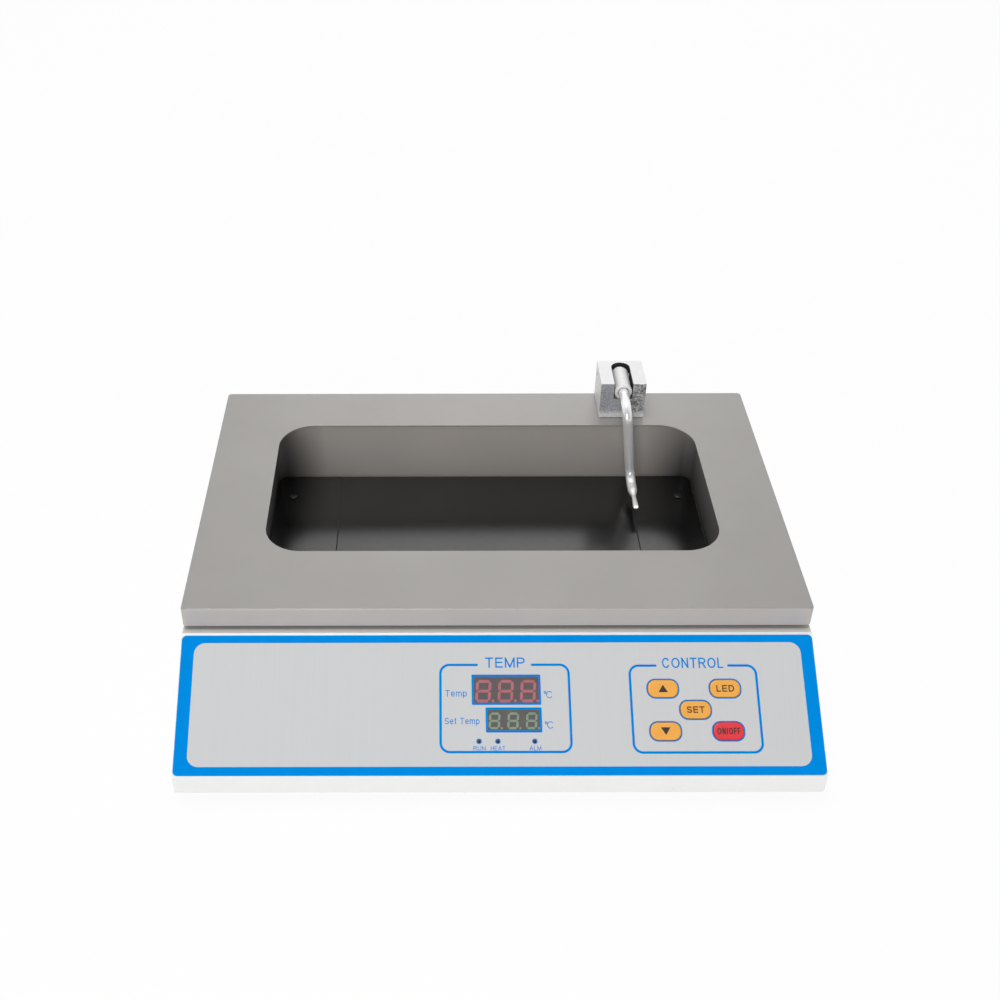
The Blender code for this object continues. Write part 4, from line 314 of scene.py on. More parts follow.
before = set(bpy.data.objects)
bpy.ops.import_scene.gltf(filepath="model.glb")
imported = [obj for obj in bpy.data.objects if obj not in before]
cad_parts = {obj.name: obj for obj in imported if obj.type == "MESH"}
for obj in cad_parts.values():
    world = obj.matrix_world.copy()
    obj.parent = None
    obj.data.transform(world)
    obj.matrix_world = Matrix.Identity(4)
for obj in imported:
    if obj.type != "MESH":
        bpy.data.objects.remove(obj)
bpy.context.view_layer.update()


def tone(red, green, blue):
    """A colour as seen on a screen, 0 to 255, as linear light."""
    def linear(value):
        share = value / 255
        return share / 12.92 if share <= 0.04045 else ((share + 0.055) / 1.055) ** 2.4
    return linear(red), linear(green), linear(blue)


def wire(node, *firsts, **named):
    """Link or set a node's first inputs in turn, and others by name with underscores for spaces."""
    named = [(node.inputs[name.replace("_", " ")], value) for name, value in named.items()]
    for socket, value in [*zip(node.inputs, firsts), *named]:
        if isinstance(value, bpy.types.NodeSocket):
            node.id_data.links.new(value, socket)
        else:
            socket.default_value = (*value, 1) if socket.type == "RGBA" else value
    return node


def add_node(tree, kind, *firsts, **named):
    return wire(tree.nodes.new("ShaderNode" + kind), *firsts, **named)


def add_math(tree, operation, *values):
    node = add_node(tree, "Math", *values)
    node.operation = operation
    return node.outputs[0]


class Surface:
    """A material under construction, with textures in the object's own coordinates."""

    def __init__(self, name, colour, roughness, metallic=0.0, **sockets):
        self.material = bpy.data.materials.new(name)
        self.material.use_nodes = True
        self.tree = self.material.node_tree
        self.shader = self.tree.nodes["Principled BSDF"]
        self.colour = colour
        wire(self.shader, Base_Color=colour, Roughness=roughness, Metallic=metallic, **sockets)
        self.coordinates = self.add("TexCoord").outputs
        self.normal = {}

    def add(self, kind, *firsts, **named):
        return add_node(self.tree, kind, *firsts, **named)

    def axis(self, coordinates, axis):
        """One axis of the object's coordinates or of its face directions."""
        return self.add("SeparateXYZ", self.coordinates[coordinates]).outputs[axis]

    def texture(self, kind, size, stretch=(1, 1, 1), **named):
        """A texture whose blots are about size millimetres across."""
        place = self.add("Mapping", self.coordinates["Object"], Scale=stretch).outputs["Vector"]
        return self.add(kind, Vector=place, Scale=1 / (size * MM), **named)

    def noise(self, size, stretch=(1, 1, 1), detail=3, distortion=0.0):
        """Soft random values."""
        return self.texture("TexNoise", size, stretch, Detail=detail, Distortion=distortion).outputs["Fac"]

    def span(self, value, low, high, source_low=0.3, source_high=0.7):
        """A texture value moved to run from low to high."""
        return self.add("MapRange", Value=value, From_Min=source_low, From_Max=source_high, To_Min=low,
                        To_Max=high).outputs["Result"]

    def inside(self, low, high):
        """1 within a box that is given by two corners in the object's coordinates, else 0."""
        x, y, z = (
            add_math(self.tree, "COMPARE", self.axis("Object", axis), (a + b) / 2, (b - a) / 2)
            for axis, a, b in zip("XYZ", low, high))
        return add_math(self.tree, "MULTIPLY", add_math(self.tree, "MULTIPLY", x, y), z)

    def blend(self, value, low, high):
        """A colour between two others, by a texture value."""
        node = self.add("Mix")
        node.data_type = "RGBA"
        return wire(node, Factor=value, A=low, B=high).outputs["Result"]

    def paint(self, colour):
        self.painted = colour
        wire(self.shader, Base_Color=colour)

    def tint(self, value, shift):
        """Vary the base colour by a share either way."""
        darker = tuple(channel * (1 - shift) for channel in self.colour)
        lighter = tuple(min(channel * (1 + shift), 1) for channel in self.colour)
        self.paint(self.blend(self.span(value, 0, 1), darker, lighter))

    def gloss(self, value, low, high):
        wire(self.shader, Roughness=self.span(value, low, high))

    def bump(self, value, height, strength=1.0):
        """Raise the surface by a height in millimetres."""
        node = self.add("Bump", Height=value, Distance=height * MM, Strength=strength, **self.normal)
        self.normal = {"Normal": node.outputs["Normal"]}
        wire(self.shader, **self.normal)


def plain_look(name, colour, roughness, grain, height, metallic=0.0, shift=0.06, spread=0.06, **sockets):
    """Mottled colour, uneven gloss and a fine grain: the base of most finishes."""
    look = Surface(name, colour, roughness, metallic, **sockets)
    look.tint(look.noise(grain * GRAIN_BLOTS), shift)
    look.gloss(look.noise(grain * GRAIN_CLOUDS), roughness - spread, roughness + spread)
    look.bump(look.noise(grain, detail=2), height)
    return look


def steel_look(name, colour, roughness, metallic):
    """Satin sheet: a fine grain drawn along X, faint clouds and a few handling marks."""
    look = Surface(name, colour, roughness, metallic)
    look.tint(look.noise(60, detail=4), 0.035)
    streaks = look.noise(0.5, (0.05, 1, 1), 4)
    look.gloss(streaks, roughness - 0.05, roughness + 0.06)
    look.bump(streaks, 0.004)
    look.bump(look.noise(0.25, detail=2), 0.003)
    return look


def block_look():
    """Milled aluminium with painted light: the top and left side painted lighter as lit, a mottled front with
    a painted highlight along its foot, and painted shade darkening the slot.
    """
    look = Surface("block_metal_painted_light_and_shade", tone(214, 214, 216), 0.45, 0.35)
    scuffs = look.noise(1.8, (1, 1, 1.6), 6, 1.2)
    even = look.span(look.noise(0.9, detail=5, distortion=0.5), 0, 1, 0.36, 0.64)
    dull = look.blend(even, tone(154, 156, 162), tone(206, 208, 213))
    # Painted light: a lighter grey for the lit left side and for the highlight along the foot of the front
    painted_light = look.blend(even, tone(212, 212, 212), tone(244, 244, 242))
    mottled = look.blend(look.span(scuffs, 0, 1, 0.4, 0.62), tone(102, 102, 104), tone(234, 234, 232))
    across = look.span(look.axis("Object", "X"), 0, 1, BLOCK_X, BLOCK_X + BLOCK.width / 3)
    # Painted highlight: the front face lighter near its foot
    foot = look.span(look.axis("Object", "Z"), 1, 0, BLOCK_Z + BLOCK_FOOT_HIGHLIGHT / 2, BLOCK_Z + BLOCK_FOOT_HIGHLIGHT)
    front = look.blend(foot, look.blend(across, dull, mottled), painted_light)
    # Painted light: faces turned to the left are lighter, as lit from the left
    sides = look.blend(look.span(look.axis("Normal", "X"), 1, 0, *TURNED), dull, painted_light)
    faces = look.blend(look.span(look.axis("Normal", "Y"), 1, 0, *TURNED), sides, front)
    nicks = look.span(look.noise(1.1, detail=5, distortion=0.6), 0, 1, 0.64, 0.7)
    faces = look.blend(nicks, faces, tone(240, 240, 238))
    # Painted shade: the walls and floor of the slot darkened
    half = BLOCK.slot / 2 + SLOT_SHADE
    slot = look.inside((BLOCK_X - half, BLOCK_Y - half, SLOT_Z - SLOT_SHADE),
                       (BLOCK_X + half, PIVOT_Y + half, BLOCK_Z + 2 * BLOCK.height))
    faces = look.blend(slot, faces, tone(44, 44, 46))
    # Painted light: level faces lighter, as lit from above
    look.paint(look.blend(look.span(look.axis("Normal", "Z"), 0, 1), faces, tone(222, 222, 222)))
    look.gloss(scuffs, 0.42, 0.55)
    look.bump(look.noise(0.35, (0.04, 0.04, 1)), 0.008)
    look.bump(scuffs, 0.012, 0.5)
    return look


def case_look():
    """White powder coat, with painted shade: level faces, the ledge before the plate among them, a little
    greyer.
    """
    look = plain_look("white_coat_painted_shade", tone(240, 240, 238), 0.32, 0.9, 0.006, 0.0, 0.012, 0.05, Coat_Weight=0.15)
    # Painted shade: level faces greyer, as shaded by the plate's lip
    level = look.span(look.axis("Normal", "Z"), 0, 1, *LEVEL)
    look.paint(look.blend(level, look.painted, tone(216, 213, 208)))
    return look


def tank_look():
    """Drawn steel with painted shade: darker towards its ends and darkest low down there."""
    look = steel_look("tank_steel", tone(212, 206, 200), 0.42, 0.35)
    # Painted shade: the tank's ends darken towards the floor, over a reach in from each end
    height = look.span(look.axis("Object", "Z"), 0, 1, FLOOR_Z, UNDER_Z)
    ends = look.blend(height, tone(90, 87, 88), tone(170, 165, 162))
    reach = add_math(look.tree, "ABSOLUTE", look.axis("Object", "X"))
    place = look.span(reach, 0, 1, TANK_X - TANK.dull_reach, TANK_X - TANK.corner)
    look.paint(look.blend(place, look.painted, ends))
    return look


def field_look():
    """Silver-grey print, faintly brushed down the slope."""
    look = Surface("field_ink", tone(201, 202, 203), 0.55, Specular_IOR_Level=0.25)
    look.tint(look.noise(1.6, (1, 0.03, 1), 4), 0.008)
    look.gloss(look.noise(0.8, (1, 0.05, 1)), 0.53, 0.58)
    look.bump(look.noise(0.3, detail=2), 0.002)
    return look


def circuit_look():
    """Green solder mask over copper tracks."""
    look = Surface("circuit_board", (0.02, 0.16, 0.07), 0.35)
    tracks = look.texture("TexVoronoi", 4, (1, 1, 0.01)).outputs["Distance"]
    shown = look.span(tracks, 0, 1, 0.28, 0.34)
    look.paint(look.blend(shown, (0.015, 0.12, 0.05), (0.05, 0.28, 0.10)))
    look.gloss(look.noise(2), 0.28, 0.42)
    look.bump(shown, 0.03)
    return look


def glass_look(name, colour, roughness=0.08):
    look = Surface(name, colour, roughness, Coat_Weight=0.25, Coat_Roughness=0.05)
    look.tint(look.noise(6), 0.08)
    look.gloss(look.noise(4), roughness, roughness + 0.06)
    look.bump(look.noise(3, detail=1), 0.002)
    return look


def make_looks():
    """Every finish by name."""
    ink = {"Specular_IOR_Level": 0.01}
    wet = {"shift": 0.1, "spread": 0.012}
    looks = {
        "plate": steel_look("plate_steel", tone(155, 152, 149), 0.42, 0.28),
        # Painted sheen: a lighter copy of the plate's steel for the outer faces of its fold
        "fold": steel_look("plate_fold_painted_sheen", tone(190, 184, 180), 0.45, 0.2),
        "tank": tank_look(),
        "block": block_look(),
        "field": field_look(),
        "circuit": circuit_look(),
        "case": case_look(),
        "blue": plain_look("blue_ink", tone(0, 137, 221), 0.5, 0.3, 0.002, shift=0.03, **ink),
        "line": plain_look("line_ink", tone(0, 131, 215), 0.5, 0.2, 0.001, shift=0.05, **ink),
        "orange": plain_look("orange_key", tone(240, 167, 66), 0.4, 0.25, 0.003, shift=0.03,
                             Subsurface_Weight=0.05),
        "red": plain_look("red_key", tone(224, 44, 56), 0.4, 0.25, 0.003, shift=0.04),
        "key_ink": plain_look("key_ink", tone(34, 26, 22), 0.45, 0.2, 0.001, shift=0.1),
        "red_pane": glass_look("red_pane", tone(92, 84, 86)),
        "green_pane": glass_look("green_pane", tone(94, 90, 90)),
        "red_digit": glass_look("red_digit", tone(170, 96, 104), 0.2),
        "green_digit": glass_look("green_digit", tone(124, 146, 122), 0.2),
        "lens": glass_look("lamp_lens", tone(52, 30, 34)),
        "floor": plain_look("black_floor", (0.002, 0.002, 0.0022), 0.22, 0.4, 0.0006, IOR=1.62, **wet),
        "smoked": plain_look("smoked_acrylic", (0.0015, 0.0015, 0.0017), 0.22, 0.4, 0.0006, IOR=1.64, **wet),
        "sleeve": plain_look("sleeve_plastic", tone(233, 233, 232), 0.3, 0.5, 0.003, shift=0.01),
        "rod": plain_look("polished_tube", tone(250, 250, 251), 0.12, 0.4, 0.0005, 0.4, 0.02, 0.02),
        "zinc": plain_look("zinc_plate", tone(190, 192, 196), 0.34, 0.4, 0.006, 1.0, 0.1, 0.1),
        "rubber": plain_look("black_rubber", (0.022, 0.022, 0.023), 0.75, 0.3, 0.02, shift=0.2),
        "moulded": plain_look("black_moulding", (0.025, 0.025, 0.026), 0.45, 0.25, 0.01, shift=0.12),
        "pin": plain_look("nickel_pin", tone(214, 208, 190), 0.22, 0.3, 0.002, 1.0),
        "silicone": plain_look("silicone_mat", (0.62, 0.15, 0.035), 0.62, 0.5, 0.03, shift=0.12),
        "foam": plain_look("insulation_foam", (0.72, 0.70, 0.62), 0.92, 0.8, 0.12, shift=0.08),
        "lamp_board": plain_look("lamp_board", (0.80, 0.79, 0.72), 0.4, 0.6, 0.01),
        "lead": plain_look("lead_jacket", (0.22, 0.22, 0.24), 0.5, 0.4, 0.01, shift=0.1),
        "sink": plain_look("sink_aluminium", (0.55, 0.55, 0.57), 0.36, 0.4, 0.008, 1.0),
    }
    return {name: look.material for name, look in looks.items()}


LOOKS = make_looks()
dressed = []


def moved(x, y):
    return Matrix.Translation((x, y, 0))


def add_object(name, data, place=None):
    thing = bpy.data.objects.new(name, data)
    bpy.context.scene.collection.objects.link(thing)
    if place:
        thing.matrix_world = place
    return thing


def shade(mesh):
    mesh.shade_smooth()
    mesh.set_sharp_from_angle(angle=SMOOTH_ANGLE)
    return mesh


def mesh_of(name, bm):
    mesh = bpy.data.meshes.new(name)
    bm.to_mesh(mesh)
    bm.free()
    return mesh


def tool(bm, place=None):
    """A mesh object that only cuts or joins others."""
    bmesh.ops.remove_doubles(bm, verts=bm.verts, dist=WELD_REACH)
    bmesh.ops.recalc_face_normals(bm, faces=bm.faces)
    return add_object("tool", shade(mesh_of("tool", bm)), place)


def add_piece(name, bm, look, body="bath", place=None, shows=()):
    """A finished mesh piece that rides a body and may stand for solids."""
    piece = tool(bm, place)
    piece.name = piece.data.name = name
    piece.data.materials.append(LOOKS[look])
    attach(piece, body)
    dressed.append(piece)
    if shows:
        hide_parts(*shows)
    return piece


def settle(piece):
    """Apply a piece's modifiers to its mesh and remove the cutters."""
    cutters = [m.object for m in piece.modifiers if m.type == "BOOLEAN"]
    bpy.context.view_layer.update()
    shape = piece.evaluated_get(bpy.context.evaluated_depsgraph_get())
    mesh = bpy.data.meshes.new_from_object(shape)
    piece.modifiers.clear()
    piece.data = shade(mesh)
    for cutter in cutters:
        bpy.data.objects.remove(cutter, do_unlink=True)
    return piece


def carve(piece, *tools, operation="DIFFERENCE"):
    """Cut tools out of a piece, or join them to it."""
    for cutter in tools:
        modifier = piece.modifiers.new("tool", "BOOLEAN")
        modifier.operation = operation
        modifier.solver = "EXACT"
        modifier.object = cutter
    return settle(piece)


def soften(piece, width, segments=2, angle=30):
    """Round the sharp edges of a piece."""
    modifier = piece.modifiers.new("soft_edges", "BEVEL")
    modifier.width = width
    modifier.segments = segments
    modifier.limit_method = "ANGLE"
    modifier.angle_limit = radians(angle)
    return settle(piece)


def box_mesh(low, high, bm=None):
    bm = bm or bmesh.new()
    low, high = Vector(low), Vector(high)
    place = Matrix.Translation((low + high) / 2) @ Matrix.Diagonal((*(high - low), 1))
    bmesh.ops.create_cube(bm, size=1, matrix=place)
    return bm


def slab_mesh(half_x, half_y, low, high, middle=(0, 0), bm=None):
    """A box about a middle, between two heights."""
    x, y = middle
    return box_mesh((x - half_x, y - half_y, low), (x + half_x, y + half_y, high), bm)


def rod_mesh(radius, start, end, bm=None):
    bm = bm or bmesh.new()
    start, end = Vector(start), Vector(end)
    turn = (end - start).to_track_quat("Z", "Y").to_matrix().to_4x4()
    bmesh.ops.create_cone(
        bm, cap_ends=True, segments=SMALL_SIDES, radius1=radius, radius2=radius,
        depth=(end - start).length, matrix=Matrix.Translation((start + end) / 2) @ turn)
    return bm


def drill(bm, radius, x, y, low, high):
    """An upright round hole."""
    rod_mesh(radius, (x, y, low), (x, y, high), bm)


def rounded(half_x, half_y, radius, middle=(0, 0), steps=ARC_STEPS):
    """Corner arcs of a rounded rectangle, anticlockwise."""
    points = []
    for quarter, (sign_x, sign_y) in enumerate(((1, 1), (-1, 1), (-1, -1), (1, -1))):
        centre_x = middle[0] + sign_x * (half_x - radius)
        centre_y = middle[1] + sign_y * (half_y - radius)
        for step in range(steps + 1):
            angle = pi / 2 * (quarter + step / steps)
            points.append((centre_x + radius * cos(angle), centre_y + radius * sin(angle)))
    return points


def capsule(grow=0.0, middle=(0, 0)):
    """The outline of a key, grown outwards."""
    width, height = KEY.width + 2 * grow, KEY.height + 2 * grow
    return rounded(width / 2, height / 2, height / 2 * KEY_END_SHARE, middle, FINE_STEPS)


def circle(radius, middle=(0, 0), sides=SMALL_SIDES):
    turns = [tau * k / sides for k in range(sides)]
    return [(middle[0] + radius * cos(turn), middle[1] + radius * sin(turn)) for turn in turns]


def at_height(outline, z):
    return [(x, y, z) for x, y in outline]


def ring_of(form, z, grow=0.0):
    """The rounded rectangle of a form at a height, grown outwards."""
    half_x, half_y, radius, middle, steps = form
    return at_height(rounded(half_x + grow, half_y + grow, radius + grow, middle, steps), z)


def prism(outlines, low, high, bm=None):
    """An upright prism of an outline, with any further outlines as holes."""
    bm = bm or bmesh.new()
    edges = []
    for outline in outlines:
        ring = [bm.verts.new((x, y, low)) for x, y in outline]
        edges += [bm.edges.new((ring[k - 1], ring[k])) for k in range(len(ring))]
    filled = bmesh.ops.triangle_fill(bm, use_beauty=True, use_dissolve=False, edges=edges)
    faces = [item for item in filled["geom"] if isinstance(item, bmesh.types.BMFace)]
    raised = bmesh.ops.extrude_face_region(bm, geom=faces, use_keep_orig=True)
    top = [item for item in raised["geom"] if isinstance(item, bmesh.types.BMVert)]
    bmesh.ops.translate(bm, verts=top, vec=(0, 0, high - low))
    return bm


def skin(loops, closed=False, bm=None):
    """Skin a row of loops with equal point counts."""
    bm = bm or bmesh.new()
    rings = [[bm.verts.new(point) for point in loop] for loop in loops]
    pairs = list(zip(rings, rings[1:]))
    if closed:
        pairs.append((rings[-1], rings[0]))
    for lower, upper in pairs:
        for k in range(len(lower)):
            bm.faces.new((lower[k - 1], lower[k], upper[k], upper[k - 1]))
    if not closed:
        bm.faces.new(rings[0])
        bm.faces.new(list(reversed(rings[-1])))
    return bm


def turned(profile, place=None, sides=ROUND_SIDES, closed=False):
    """Turn a profile of (radius, height) points about the local Z axis."""
    loops = [at_height(circle(radius, sides=sides), height) for radius, height in profile]
    if place:
        loops = [[place @ Vector(point) for point in loop] for loop in loops]
    return skin(loops, closed)


def quarter_round(outer, inner, low, high, steps=FINE_STEPS):
    """(reach, height) pairs of a convex quarter circle from (outer, low) to (inner, high)."""
    turns = [pi / 2 * step / steps for step in range(steps + 1)]
    return [(inner + (outer - inner) * cos(turn), low + (high - low) * sin(turn)) for turn in turns]


def ribbon(points, width, low, high, ends="square", bm=None):
    """A flat strip of even width along a path, its ends cut square half a width on, or round."""
    half = width / 2
    points = [Vector(point) for point in points]
    head = (points[0] - points[1]).normalized() * half
    tail = (points[-1] - points[-2]).normalized() * half
    turns = QUARTER[1:-1] if ends == "round" else [pi / 2]
    reaches = [half * cos(turn) if ends == "round" else half for turn in turns]
    before = [(points[0] + head * sin(turn), reach) for turn, reach in zip(turns, reaches)]
    after = [(points[-1] + tail * sin(turn), reach) for turn, reach in zip(turns, reaches)]
    path = before[::-1] + [(point, half) for point in points] + after
    loops = []
    for k, (point, reach) in enumerate(path):
        here = (point - path[k - 1][0]).normalized() if k else -head.normalized()
        ahead = (path[k + 1][0] - point).normalized() if k + 1 < len(path) else here
        along = (here + ahead).normalized()
        across = Vector((-along.y, along.x)) * reach / max(along.dot(ahead), MITRE_SHARE)
        a, b = point + across, point - across
        loops.append([(a.x, a.y, low), (b.x, b.y, low), (b.x, b.y, high), (a.x, a.y, high)])
    return skin(loops, bm=bm)


def drill_for_block(bm, low, screw_top, lead_top):
    """The holes for the block's screws and for the lead of the probe."""
    for side in SIDES.values():
        x, y = BLOCK_X + side * BLOCK.screw_pitch / 2, (BLOCK_Y + BLOCK_BACK_Y) / 2 + BLOCK.screw_back
        drill(bm, BLOCK.screw_hole, x, y, low, screw_top)
    drill(bm, BLOCK.lead_hole, BLOCK_X, BLOCK_Y + BLOCK.lead_back, low, lead_top)


def plate_loop(inset, z, radius):
    return at_height(rounded(
        PLATE_WIDTH / 2 - inset, PLATE_DEPTH / 2 - inset, radius, (0, (PLATE_Y + BACK_Y) / 2)), z)


def dress_plate():
    """Folded stainless plate with rounded folds and softened cut edges."""
    low, edge, sheet = PLATE_Z - PLATE.lip, PLATE.edge, PLATE.sheet
    worn = edge * WEAR_SHARE
    bend = quarter_round(0, PLATE.bend, -PLATE.bend, 0, FINE_STEPS + 2)[::-1]
    outer = [(inset, PLATE_Z + height) for inset, height in bend] + [(0, low + edge), (edge, low)]
    inner = [(sheet - edge, low), (sheet, low + edge), (sheet, UNDER_Z)]
    upper_rim = [(PLATE_Z - edge, 0), (PLATE_Z - worn, worn), (PLATE_Z, edge)]
    loops = [ring_of(OPENING_FORM, z, grow) for z, grow in upper_rim]
    loops += [plate_loop(inset, z, PLATE.corner) for inset, z in outer]
    loops += [plate_loop(inset, z, PLATE.corner - sheet) for inset, z in inner]
    loops += [ring_of(OPENING_FORM, z, grow) for z, grow in ((UNDER_Z, edge), (UNDER_Z + edge, 0))]
    plate = add_piece("plate_sheet", skin(loops, closed=True), "plate", shows=["top_plate"])
    holes = bmesh.new()
    drill_for_block(holes, UNDER_Z - OVERRUN, PLATE_Z + OVERRUN, PLATE_Z + OVERRUN)
    carve(plate, tool(holes))
    # The outer faces of the front fold take the lighter copy of the steel: painted sheen
    plate.data.materials.append(LOOKS["fold"])
    for face in plate.data.polygons:
        if abs(face.normal.z) < FOLD_TURN_SHARE and face.center.y < PLATE_Y + sheet / 2:
            face.material_index = 1


def dress_studs():
    """Studs under the plate with their nuts."""
    edge, radius, nut, face = PLATE.edge, STUD.radius, STUD.nut_radius, CASE_Z - SHEET
    low, top, under = face - STUD.below, face - GAP, face - GAP - STUD.nut
    stud_profile = [(radius - edge, low), (radius, low + edge), (radius, UNDER_Z)]
    nut_profile = [(nut - edge, under), (nut, under + edge), (nut, top - edge), (nut - edge, top),
                   (radius + edge / 2, top), (radius + edge / 2, under)]
    for number, (_, x, y) in enumerate(STUDS, 1):
        add_piece(f"plate_stud_{number}", turned(stud_profile, moved(x, y), SMALL_SIDES), "zinc")
        nut_mesh = turned(nut_profile, moved(x, y), NUT_SIDES, closed=True)
        add_piece(f"plate_nut_{number}", nut_mesh, "zinc")


def dress_tank():
    """Drawn tank with rounded floor edge, ports for the lights and screw holes."""
    sheet, bend = TANK.sheet, TANK.bend
    low = [(TANK_UNDER_Z + (bend + sheet) * (1 - cos(turn)), (bend + sheet) * sin(turn) - bend)
           for turn in QUARTER]
    mouth = [(TANK_FLANGE_Z - sheet * (1 - cos(turn)), sheet * (1 - sin(turn))) for turn in QUARTER]
    floor = [(TANK_FLOOR_Z + bend * (1 - sin(turn)), -bend * (1 - cos(turn))) for turn in QUARTER]
    under = TANK_FLANGE_Z - sheet
    loops = [ring_of(TANK_FORM, z, grow) for z, grow in low + [(under, sheet)]]
    loops += [ring_of(FLANGE_FORM, under), ring_of(FLANGE_FORM, TANK_FLANGE_Z)]
    loops += [ring_of(TANK_FORM, z, grow) for z, grow in mouth + floor]
    tank = add_piece("tank_shell", skin(loops), "tank", shows=["water_tank"])
    holes = bmesh.new()
    for side in SIDES.values():
        port = rounded(TANK.port_width / 2, TANK_Y * LIGHT_PORT_SHARE, TANK.port_corner,
                       (side * (SEAM_X + TANK_X) / 2, MID_Y), FINE_STEPS)
        prism([port], TANK_UNDER_Z - OVERRUN, TANK_FLOOR_Z + OVERRUN, holes)
    for _, x, y in SCREWS:
        drill(holes, SCREW.radius + GAP, x, y, TANK_UNDER_Z - OVERRUN, TANK_FLOOR_Z + OVERRUN)
    carve(tank, tool(holes))


def floor_outline(low_x, high_x):
    """The black floor between two X places, with the tank's round corners."""
    half_x, half_y = TANK_X - FLOOR.clearance, TANK_Y - FLOOR.clearance
    full = rounded(half_x, half_y, TANK.corner - FLOOR.clearance, (0, MID_Y))
    points = [(x, y) for x, y in full if low_x < x < high_x]
    for x in (low_x, high_x):
        if abs(x) < half_x:
            points += [(x, MID_Y - half_y), (x, MID_Y + half_y)]
    middle_x = sum(x for x, _ in points) / len(points)
    return sorted(points, key=lambda p: atan2(p[1] - MID_Y, p[0] - middle_x))


def add_floor_panel(name, low_x, high_x, holes, look, node):
    low = TANK_FLOOR_Z + GAP
    panel = prism([floor_outline(low_x, high_x)] + holes, low, low + FLOOR.thickness)
    soften(add_piece(name, panel, look, shows=[node]), FLOOR.edge)


def dress_floor():
    """Black floor panels with soft edges, and a bead in each seam between them."""
    add_floor_panel("floor_centre", -SEAM_X, SEAM_X, [], "floor", "floor_plate")
    for name, side in SIDES.items():
        holes = [circle(SCREW.radius + GAP, (x, y)) for _, x, y in SCREWS if x * side > 0]
        inner = side * (SEAM_X + FLOOR.seam)
        low_x, high_x = sorted((inner, side * TANK_X))
        add_floor_panel(f"floor_window_{name}", low_x, high_x, holes, "smoked", f"light_window_{name}")
        low_x, high_x = sorted((side * SEAM_X, inner))
        half_y = TANK_Y - FLOOR.clearance
        bead = box_mesh((low_x + FLOOR.slack, MID_Y - half_y, TANK_FLOOR_Z + GAP),
                        (high_x - FLOOR.slack, MID_Y + half_y, FLOOR_Z - FLOOR.bead_below))
        add_piece(f"floor_bead_{name}", bead, "rubber")


def cross_recess(x, y, face, reach):
    """Cutter for a cross recess in a screw head of radius reach, whose face is at the height face."""
    long, short, depth = (reach * share for share in RECESS_SHARES)
    cross, arm = (
        tool(slab_mesh(half_x, half_y, face - depth, face + depth, (x, y)))
        for half_x, half_y in ((long, short), (short, long)))
    return carve(cross, arm, operation="UNION")


def dress_window_screws():
    """Screws of the two floor windows, with domed heads."""
    radius, head, low = SCREW.head_radius, SCREW.head, FLOOR_Z + GAP
    profile = [(SCREW.radius, TANK_UNDER_Z - head), (SCREW.radius, low), (radius, low)]
    skirt = low + head * HEAD_SKIRT_SHARE
    profile += quarter_round(radius, radius * HEAD_FLAT_SHARE, skirt, low + head)
    for name, x, y in SCREWS:
        screw = add_piece(f"window_screw_{name}_dressed", turned(profile, moved(x, y)), "moulded",
                          shows=[f"window_screw_{name}"])
        carve(screw, cross_recess(x, y, low + head, radius))


def case_profile(inset=0.0):
    """Side outline of the case as (y, z), moved inwards by a distance."""
    slope = inset * tan((pi / 2 - PANEL_ANGLE) / 2)
    ridge = inset * tan(PANEL_ANGLE / 2)
    return [
        (FRONT_Y + inset, BASE_Z),
        (FRONT_Y + inset, BASE_Z + CASE.front_lip - slope),
        (PANEL_Y + ridge, CASE_Z - inset),
        (CASE_BACK_Y - inset, CASE_Z - inset),
        (CASE_BACK_Y - inset, BASE_Z)]


def rounded_corner(before, corner, after, radius):
    """Points of the arc that rounds one corner of an outline."""
    before, corner, after = Vector(before), Vector(corner), Vector(after)
    back, ahead = (before - corner).normalized(), (after - corner).normalized()
    half_angle = acos(back.dot(ahead)) / 2
    middle = corner + (back + ahead).normalized() * radius / sin(half_angle)
    reach = radius / tan(half_angle)
    start, end = corner + back * reach - middle, corner + ahead * reach - middle
    turn = start.angle_signed(end)
    return [
        tuple(middle + Matrix.Rotation(-turn * step / FINE_STEPS, 2) @ start)
        for step in range(FINE_STEPS + 1)]


def case_loop(x, inset):
    """The side outline at one place along X, its folds rounded."""
    outline = case_profile(inset)
    points = [outline[0]]
    for k in range(1, len(outline) - 1):
        points += rounded_corner(*outline[k - 1:k + 2], CASE.fold - inset)
    points.append(outline[-1])
    return [(x, y, z) for y, z in points]


def case_hollow():
    """Cutter for the room in the case above its base flange."""
    half_x = HALF_X - SHEET
    outline = [(y, max(z, BASE_FLANGE_Z + SHEET)) for y, z in case_profile(SHEET)]
    bm = prism([outline], -half_x, half_x)
    bm.transform(Matrix(((0, 0, 1, 0), (1, 0, 0, 0), (0, 1, 0, 0), (0, 0, 0, 1))))
    return tool(bm)


